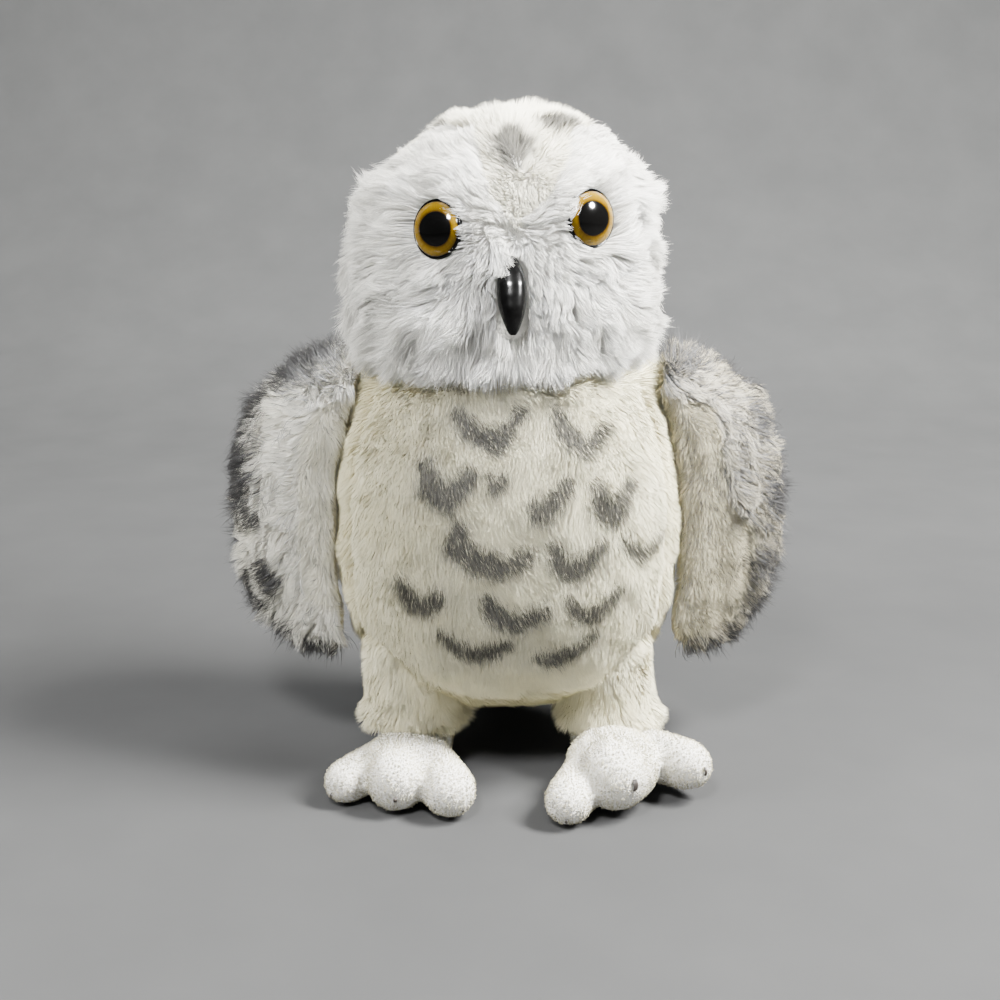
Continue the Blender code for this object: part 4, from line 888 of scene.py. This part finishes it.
def wing_outer_fur(side, seed, outside):
    """Long pile outside, whose hairs have black tips in places; the front edge is short."""
    roots = Roots(f"wing_{side}_skin", "wing", seed, outside)
    p, rng = roots.p, roots.rng
    u, v, chord, _ = wing_place(p, side)
    short = smooth_zone(u, v, side)
    front = 1 - smooth(u, 0.03, 0.16)
    flow = DOWN + chord * (0.15 + 0.80 * np.clip(u, 0, 1) - 1.1 * front)[:, None]
    flow += waves3(p, 0.035, seed + 1) * 0.40 + waves3(p, 0.012, seed + 2) * 0.50 * (1 - 0.75 * short)[:, None]
    edge = np.maximum(smooth(u, 0.55, 0.95), smooth(v, 0.72, 0.98))
    length = mix(mix(roots.pile.short, roots.pile.long, edge), EDGE_LENGTH, short) * (1 + 0.25 * front)
    length = length * (1 + 0.2 * waves(p, 0.014, seed + 3)) * roots.between(0.6, 1.15)
    lift = np.clip(0.26 + 0.20 * waves(p, 0.013, seed + 4) * (1 - 0.6 * short) + 0.12 * edge, 0.05, 0.75)
    tufts = [(0.0085, 0.42 * (1 - short)), (0.0028, 0.28 * (1 - 0.8 * short))]
    curves = strand_curves(roots, flow, lift, length, tufts, seed + 5)
    dark = darkness(u, v, side)
    solid = smooth(dark, 0.7, 1.0)
    picked = rng.random(len(p)) < dark * mix(smooth(waves(p, 0.006, seed + 7), -1.1, 0.2), 1.0, solid) * 0.92
    reach = (roots.between(0.12, 0.55) * (1 - 0.65 * solid))[:, None]
    shares = np.linspace(0, 1, curves.shape[1])[None]
    mark = np.where(picked[:, None], smooth(shares, reach - 0.12, reach + 0.15), 0.0)
    if side == "right":
        # Painted shade: the right wing's pile darkens towards its lower back, carried in the dye channel.
        painted_shade = 0.34 * smooth(v, 0.15, 0.65) * smooth(u, 0.15, 0.60) * roots.between(0.2, 1.5)
        mark = np.maximum(mark, painted_shade[:, None] * shares)
    shade = roots.tufted_shade(0.008, seed + 15)
    long = short < 0.55
    for keep, name, look in ((long, "pile", WING_LOOKS[side][0]), (~long, "edge_pile", WING_LOOKS[side][1])):
        strand_objects(f"wing_{side}_{name}", roots, curves, shade, look, seed + 8, mark, keep)


def guard_hair(side, seed, outside):
    """Longer black-tipped hairs that stand out of the pile."""
    roots = Roots(f"wing_{side}_skin", "guard", seed + 20, outside)
    u, v, _, _ = wing_place(roots.p, side)
    roots.keep((roots.rng.random(len(u)) < darkness(u, v, side) * 0.75) & (smooth_zone(u, v, side) < 0.4))
    p, rng = roots.p, roots.rng
    u, v, chord, _ = wing_place(p, side)
    flow = DOWN + chord * (0.4 + 1.0 * np.clip(u, 0, 1))[:, None] + waves3(p, 0.008, seed + 21) * 0.9
    flow[:, 2] += 1.8 * smooth(-v, -0.10, 0.02)
    length = mix(roots.pile.short, roots.pile.long, rng.random(len(p)) ** 2)
    curves = strand_curves(roots, flow, roots.between(0.18, 0.70), length, [(0.0030, 0.30)], seed + 22)
    reach = roots.between(0.10, 0.45)[:, None]
    mark = smooth(np.linspace(0, 1, curves.shape[1])[None], reach - 0.12, reach + 0.12)
    strand_objects(f"wing_{side}_guard_hair", roots, curves, rng.random(len(p)), WING_LOOKS[side][0], seed + 23,
                   mark)


def wing_fur(side):
    skin, seed = f"wing_{side}_skin", WING_SEEDS[side]

    def outside(p, n):
        return (n * wing_place(p, side)[3]).sum(1) > -0.25

    u, v, _, _ = wing_place(coords(skins[skin].data), side)
    paint(skin, GROUND_DYE["wing"] * darkness(u, v, side))
    wing_outer_fur(side, seed, outside)
    guard_hair(side, seed, outside)
    roots = Roots(skin, "lining", seed + 9, lambda p, n: ~outside(p, n))
    p = roots.p
    flow = DOWN + waves3(p, 0.03, seed + 10) * 0.4 + waves3(p, 0.01, seed + 14) * 0.25
    lift = np.clip(0.28 + 0.13 * waves(p, 0.012, seed + 11), 0.1, 0.7)
    plain_pile(f"wing_{side}_lining_pile", roots, flow, lift, roots.pile.short * roots.between(0.75, 1.15),
               [(0.0034, 0.28), (0.0014, 0.25)], seed + 12, shaded_lining_look)


# ---------------------------------------------------------------- feet
def foot_look():
    made, tree, shader = new_material("white velour", 0.9, 0.15, 0.4, 0.35)
    grain = noise(tree, 1100.0, 3.0, 0.7)
    patches = ramp(tree, noise(tree, 60.0), [(0.35, 0.0), (0.7, 1.0)])
    base = ramp(tree, grain, [(0.30, (0.70, 0.69, 0.65)), (0.62, (0.92, 0.915, 0.88))])
    base = mixed(tree, patches, base, mixed(tree, 0.5, base, (0.88, 0.87, 0.82)))
    plug(tree, base, shader.inputs["Base Color"])
    add_bump(tree, shader, grain, 0.7, 0.0008)
    return made


def thread_look():
    made, tree, shader = new_material("dark thread", 0.6, 0.3)
    shade = ramp(tree, noise(tree, 900.0), [(0.35, (0.020, 0.014, 0.010)), (0.7, (0.055, 0.040, 0.028))])
    plug(tree, shade, shader.inputs["Base Color"])
    return made


velour_look, thread_material = foot_look(), thread_look()
CLAWS = {  # stitched claws: the middle in mm, threads, their length in mm
    "left": [((-48.1, -80.7, 10.2), 3, 3.0), ((-19.1, -83.4, 6.8), 1, 2.0), ((-77.3, -68.9, 6.7), 1, 1.6)],
    "right": [((53.7, -84.8, 19.2), 4, 6.2), ((24.3, -90.4, 5.2), 2, 2.8), ((85.9, -67.1, 17.0), 2, 4.2)]}
SEAM_DASHES = [(38.6, -85.3, 16.6), (49.0, -86.7, 17.4), (61.8, -73.9, 12.0)]
THREAD_STEP, CLAW_RADIUS, DASH_RADIUS = 0.00052, 0.00030, 0.00014
THREAD_SIDES, DASH_STEP, NAP_LIFT = 6, 0.17, 0.55
SLEEVE_RADIUS, SLEEVE_HEM_Z, SOLE_Z = 0.0205, 0.0265, 0.0006


def tube(line, radius):
    """Points and faces of a thread along a line, closed at its ends."""
    line = np.array(line)
    along = unit(np.gradient(line, axis=0))
    side = unit(np.cross(along, np.array([0.31, 0.42, 0.85])))
    up = np.cross(side, along)
    last = len(line) - 1
    points = []
    for k in range(last + 1):
        thin = radius * (0.55 if k in (0, last) else 1.0)
        for a in (2 * math.pi * j / THREAD_SIDES for j in range(THREAD_SIDES)):
            points.append(line[k] + thin * (side[k] * math.cos(a) + up[k] * math.sin(a)))
    return points, wrapped(last, THREAD_SIDES)


def claw_lines(skin, side):
    """The threads of a foot's claws, each with its radius."""
    lines = []
    rng = np.random.default_rng(117)
    for middle, threads, tall in CLAWS[side]:
        middle, normal = snapped(skin, np.array(middle) * MM, 0.0)
        across = unit(np.cross(normal, [0.0, 0.0, 1.0]))
        up = unit(np.cross(across, normal)) * (-1 if np.cross(across, normal)[2] < 0 else 1)
        for k in range(threads):
            off = (k - (threads - 1) / 2) * THREAD_STEP
            low, high = rng.uniform(-0.5, -0.38) * tall * MM, rng.uniform(0.38, 0.5) * tall * MM
            line = [snapped(skin, middle + across * off + up * h, 0.0009 * math.sin(math.pi * t) ** 0.5)[0]
                    for t, h in zip(np.linspace(0, 1, 7), np.linspace(low, high, 7))]
            lines.append((line, CLAW_RADIUS))
    if side == "right":
        q = np.array(SEAM_DASHES) * MM
        dashes = [mix(a, b, t) for a, b in zip(q, q[1:]) for t in np.arange(0, 1, DASH_STEP)]
        for a, b in zip(dashes, dashes[1:]):
            lines.append(([snapped(skin, mix(a, b, t), 0.0005)[0] for t in (0.0, 0.25, 0.5)], DASH_RADIUS))
    return lines


def claws(side):
    points, faces = [], []
    for line, radius in claw_lines(skins[f"foot_{side}_cloth"], side):
        more, tiles = tube(line, radius)
        faces += [tuple(len(points) + k for k in tile) for tile in tiles]
        points += more
    made = new_object(f"foot_{side}_claw_threads", points, faces)
    made.data.materials.append(thread_material)
    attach(made, f"leg_{side}")


def foot_nap(side):
    paint(f"foot_{side}_cloth")

    def shown(p, n):
        open_place = (from_leg(p, side) > SLEEVE_RADIUS) | (p[:, 2] < SLEEVE_HEM_Z)
        return (p[:, 2] > SOLE_Z) & (n[:, 2] > -0.8) & open_place

    roots = Roots(f"foot_{side}_cloth", "nap", 110 + int(SIDES[side]), shown)
    clear = np.ones(len(roots.p), bool)
    for middle, threads, tall in CLAWS[side]:
        off = roots.p - np.array(middle) * MM
        clear &= (off[:, 0] / (threads * 0.00026)) ** 2 + (off[:, 2] / (tall * 0.00048)) ** 2 > 1
    roots.keep(clear)
    p = roots.p
    flow = waves3(p, 0.02, 112) * 0.5 + waves3(p, 0.003, 115) + np.array([0.0, -0.3, -0.2])
    length = roots.pile.short * roots.between(0.5, 1.25) * (1 + 0.35 * waves(p, 0.0018, 116))
    curves = strand_curves(roots, flow, NAP_LIFT, length, [(0.0015, 0.65)], 113)
    strand_objects(f"foot_{side}_nap", roots, curves, roots.tufted_shade(0.0016, 118), nap_look, 114)


# ---------------------------------------------------------------- eyes and beak
def frame_at(centre, axis):
    """A pose whose +Z points along axis and whose +Y is as upright as it can be."""
    z = Vector(axis).normalized()
    x = Vector((0, 0, 1)).cross(z).normalized()
    return Matrix.Translation(Vector(centre)) @ Matrix((x, z.cross(x), z)).transposed().to_4x4()


def lathe(name, profile, pose, lean=0.0, segments=72):
    """A turned piece; its disc attribute keeps each point's place across it, 1 from the middle at the rim.

    With lean the pattern's middle is moved sideways, as a dome seen at an angle shows what is under it.
    """
    points, faces, flat, rings = [], [], [], []
    wide = max(r for r, _ in profile)
    for r, z in profile:
        count = segments if r > 1e-9 else 1
        rings.append(list(range(len(points), len(points) + count)))
        for k in range(count):
            a = 2 * math.pi * k / segments
            x, y = r * math.cos(a), r * math.sin(a)
            inner = 1 - (r / wide) ** 2
            points.append((x, y, z))
            flat.append((x / wide * (1 - abs(lean) * inner) + lean * inner, y / wide, 0.0))
    for low, high in zip(rings, rings[1:]):
        for k in range(segments):
            j = (k + 1) % segments
            if len(low) == 1:
                faces.append((low[0], high[j], high[k]))
            elif len(high) == 1:
                faces.append((low[k], low[j], high[0]))
            else:
                faces.append((low[k], low[j], high[j], high[k]))
    made = new_object(name, points, faces)
    add_attribute(made.data, "disc", "FLOAT_VECTOR", "vector", np.array(flat, np.float32))
    made.data.transform(pose)
    return made


def iris_look():
    """Rings of amber round a black pupil, with faint streaks that run outwards."""
    made, tree, shader = new_material("amber eye", 0.10, 0.10, coat=0.16, coat_roughness=0.02)
    disc = node(tree, "ShaderNodeAttribute", attribute_name="disc").outputs["Vector"]
    far = node(tree, "ShaderNodeVectorMath", operation="LENGTH", Vector=disc).outputs["Value"]
    heading = node(tree, "ShaderNodeVectorMath", operation="NORMALIZE", Vector=disc).outputs[0]
    streak = node(tree, "ShaderNodeTexNoise", Scale=9.0, Detail=3.0, Roughness=0.7, Vector=heading)
    rings = ramp(tree, far, [
        (0.00, 0.003), (0.595, 0.003), (0.625, (0.060, 0.030, 0.001)), (0.70, (0.16, 0.092, 0.002)),
        (0.84, (0.22, 0.135, 0.003)), (0.925, (0.18, 0.105, 0.003)), (0.955, (0.03, 0.017, 0.002)),
        (0.975, (0.004, 0.004, 0.003))])
    light = ramp(tree, streak.outputs["Fac"], [(0.35, (0.80, 0.78, 0.74)), (0.65, 1.0)])
    plug(tree, mixed(tree, 1.0, rings, light, "MULTIPLY"), shader.inputs["Base Color"])
    return made


def black_look():
    made, tree, shader = new_material("glossy black plastic", 0.16, 0.14, coat=0.06, coat_roughness=0.04)
    plug(tree, ramp(tree, noise(tree, 300.0), [(0.35, 0.0025), (0.7, 0.005)]), shader.inputs["Base Color"])
    plug(tree, ramp(tree, noise(tree, 160.0, 4.0), [(0.35, 0.13), (0.75, 0.24)]), shader.inputs["Roughness"])
    return made


iris_material, black_material = iris_look(), black_look()
EYE_LEAN = 0.30
EYE_R, RIM_WIDTH, RIM_BULGE, DOME_BASE, DOME_HEIGHT = 0.0120, 0.0007, 0.00045, 0.0006, 0.0056


def make_eye(side):
    pose = frame_at(*EYES[side])
    inner = EYE_R - RIM_WIDTH
    rim = [(inner - 0.0004, -0.0003), (EYE_R - 0.0004, -0.0008), (EYE_R, -0.0003)]
    for a in (math.pi * k / 8 for k in range(9)):
        rim.append((EYE_R - RIM_BULGE + RIM_BULGE * math.cos(a), 0.0012 + RIM_BULGE * math.sin(a)))
    ring = lathe(f"eye_{side}_rim", rim + [(inner - 0.0004, 0.0004), rim[0]], pose)
    profile = [(0.0, 0.0), (inner, 0.0), (inner, DOME_BASE)]
    for a in (math.pi / 2 * k / 24 for k in range(1, 24)):
        profile.append((inner * math.cos(a), DOME_BASE + DOME_HEIGHT * math.sin(a) ** 1.02))
    profile.append((0.0, DOME_BASE + DOME_HEIGHT))
    dome = lathe(f"eye_{side}_lens", profile, pose, SIDES[side] * EYE_LEAN)
    ring.data.materials.append(black_material)
    dome.data.materials.append(iris_material)
    for obj, slot, stands_for in ((ring, "black_plastic", "base"), (dome, "eye_dome", "dome")):
        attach(obj, "head")
        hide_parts(f"eye_{side}_{stands_for}")


BEAK_SECTIONS = np.array([  # from the top down: height, half width, front and back from the face, as shares
    (0.00, 0.25, 0.10, 0.00), (0.05, 0.46, 0.30, 0.00), (0.16, 0.74, 0.56, 0.00), (0.32, 0.96, 0.80, 0.00),
    (0.48, 1.00, 0.92, 0.00), (0.62, 0.92, 0.99, 0.03), (0.76, 0.74, 1.00, 0.24), (0.88, 0.50, 0.98, 0.50),
    (0.96, 0.32, 0.93, 0.66), (1.00, 0.14, 0.86, 0.76)])
BEAK_REACH, BEAK_ROWS, BEAK_AROUND = 0.0135, 40, 40


def make_beak():
    co = turned_head(coords(nodes["beak"].data), -1.0)
    low, high = co.min(0), co.max(0)
    wide = (high[0] - low[0]) / 2
    points = []
    for share in (j / BEAK_ROWS for j in range(BEAK_ROWS + 1)):
        t = share + 0.012 * math.sin(2 * math.pi * share)
        half, ahead, behind = (np.interp(t, BEAK_SECTIONS[:, 0], BEAK_SECTIONS[:, k]) for k in (1, 2, 3))
        for a in (2 * math.pi * i / BEAK_AROUND for i in range(BEAK_AROUND)):
            x = wide * half * math.copysign(abs(math.cos(a)) ** 0.9, math.cos(a))
            y = low[1] + BEAK_REACH * (1.0 - behind - (ahead - behind) * (0.5 + 0.5 * math.sin(a)))
            points.append(((high[0] + low[0]) / 2 + x, y, high[2] - (high[2] - low[2]) * t))
    made = new_object("beak_shell", turned_head(np.array(points)), wrapped(BEAK_ROWS, BEAK_AROUND))
    soften = made.modifiers.new("Soften", "SMOOTH")
    soften.factor, soften.iterations = 0.5, 6
    made.modifiers.new("Fine", "SUBSURF").levels = 1
    baked(made)
    made.data.shade_smooth()
    made.data.materials.append(black_material)
    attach(made, "head")
    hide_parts("beak")


# ---------------------------------------------------------------- put together
for name, obj in skins.items():
    members, body, slot, _, _, fill, ground = SKINS[name]
    obj.data.materials.append(velour_look if slot == "velour" else ground)
    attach(obj, body)
    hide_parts(*members)
body_fur()
paint("head_skin")
face_fur()
crown_fur()
for side in SIDES:
    leg_fur(side)
    foot_nap(side)
    claws(side)
    wing_fur(side)
    make_eye(side)
tail_fur()
make_beak()


# ---------------------------------------------------------------- floor, light, camera
def floor_look():
    made, tree, shader = new_material("pale floor", 0.9, 0.2)
    base = ramp(tree, noise(tree, 14.0, 4.0), [(0.3, (0.076, 0.078, 0.080)), (0.7, (0.088, 0.090, 0.092))])
    # Painted light: the floor is darker in front and grows lighter towards the wall behind and up it.
    place = tree.nodes.new("ShaderNodeTexCoord").outputs["Object"]
    depth = node(tree, "ShaderNodeSeparateXYZ", Vector=place).outputs[1]
    back = ramp(tree, depth, [(0.20, 0.45), (1.0, 1.0)])
    plug(tree, mixed(tree, 1.0, base, back, "MULTIPLY"), shader.inputs["Base Color"])
    return made


def make_stage():
    """A floor that bends up into a wall behind the owl."""
    half, front, back, tall, bend = 3.0, -3.0, 1.4, 2.6, 0.7
    line = [(front, 0.0), (back - bend, 0.0)]
    line += [(back - bend + bend * math.sin(a), bend - bend * math.cos(a)) for a in np.linspace(0.1, math.pi / 2, 14)]
    line.append((back, tall))
    points = [(x, y, z - 0.0002) for y, z in line for x in (-half, half)]
    faces = [(2 * k, 2 * k + 1, 2 * k + 3, 2 * k + 2) for k in range(len(line) - 1)]
    made = new_object("floor", points, faces)
    made.data.materials.append(floor_look())


def area_light(name, place, aim, size, power, colour=(1, 1, 1), diffuse=True, glossy=True):
    data = bpy.data.lights.new(name, "AREA")
    data.shape = "DISK"
    data.size, data.energy, data.color = size, power, colour
    light = linked(name, data)
    light.visible_diffuse, light.visible_glossy = diffuse, glossy
    light.location = place
    light.rotation_euler = (Vector(aim) - Vector(place)).to_track_quat("-Z", "Y").to_euler()


make_stage()
area_light("key", (0.86, -0.23, 1.24), (0, 0, 0.18), 0.45, 190.0, (1.0, 0.98, 0.93), glossy=False)
area_light("catch_left", (-0.15, -0.68, 0.80), (0, 0, 0.245), 0.20, 165.0, diffuse=False)
area_light("catch_right", (0.71, -0.36, 0.70), (0, 0, 0.245), 0.20, 165.0, diffuse=False)
area_light("fill", (-0.95, -0.50, 1.00), (0, 0, 0.15), 0.9, 37.0, (1.0, 0.985, 0.95), glossy=False)
area_light("top", (-0.05, 0.30, 1.25), (0, 0, 0.2), 0.7, 14.0)
world = bpy.data.worlds.new("studio")
bpy.context.scene.world = world
world.use_nodes = True
world.node_tree.nodes["Background"].inputs["Color"].default_value = (0.82, 0.83, 0.85, 1.0)
world.node_tree.nodes["Background"].inputs["Strength"].default_value = 0.13

camera_data = bpy.data.cameras.new("camera")
camera_data.lens, camera_data.sensor_width = 50.0, 36.0
camera = linked("camera", camera_data)
PITCH, DISTANCE, TARGET = math.radians(14.0), 0.642, Vector((-0.0035, 0.0, 0.122))
camera.location = TARGET + Vector((0, -math.cos(PITCH), math.sin(PITCH))) * DISTANCE
camera.rotation_euler = (math.radians(90.0) - PITCH, 0.0, 0.0)
bpy.context.scene.camera = camera
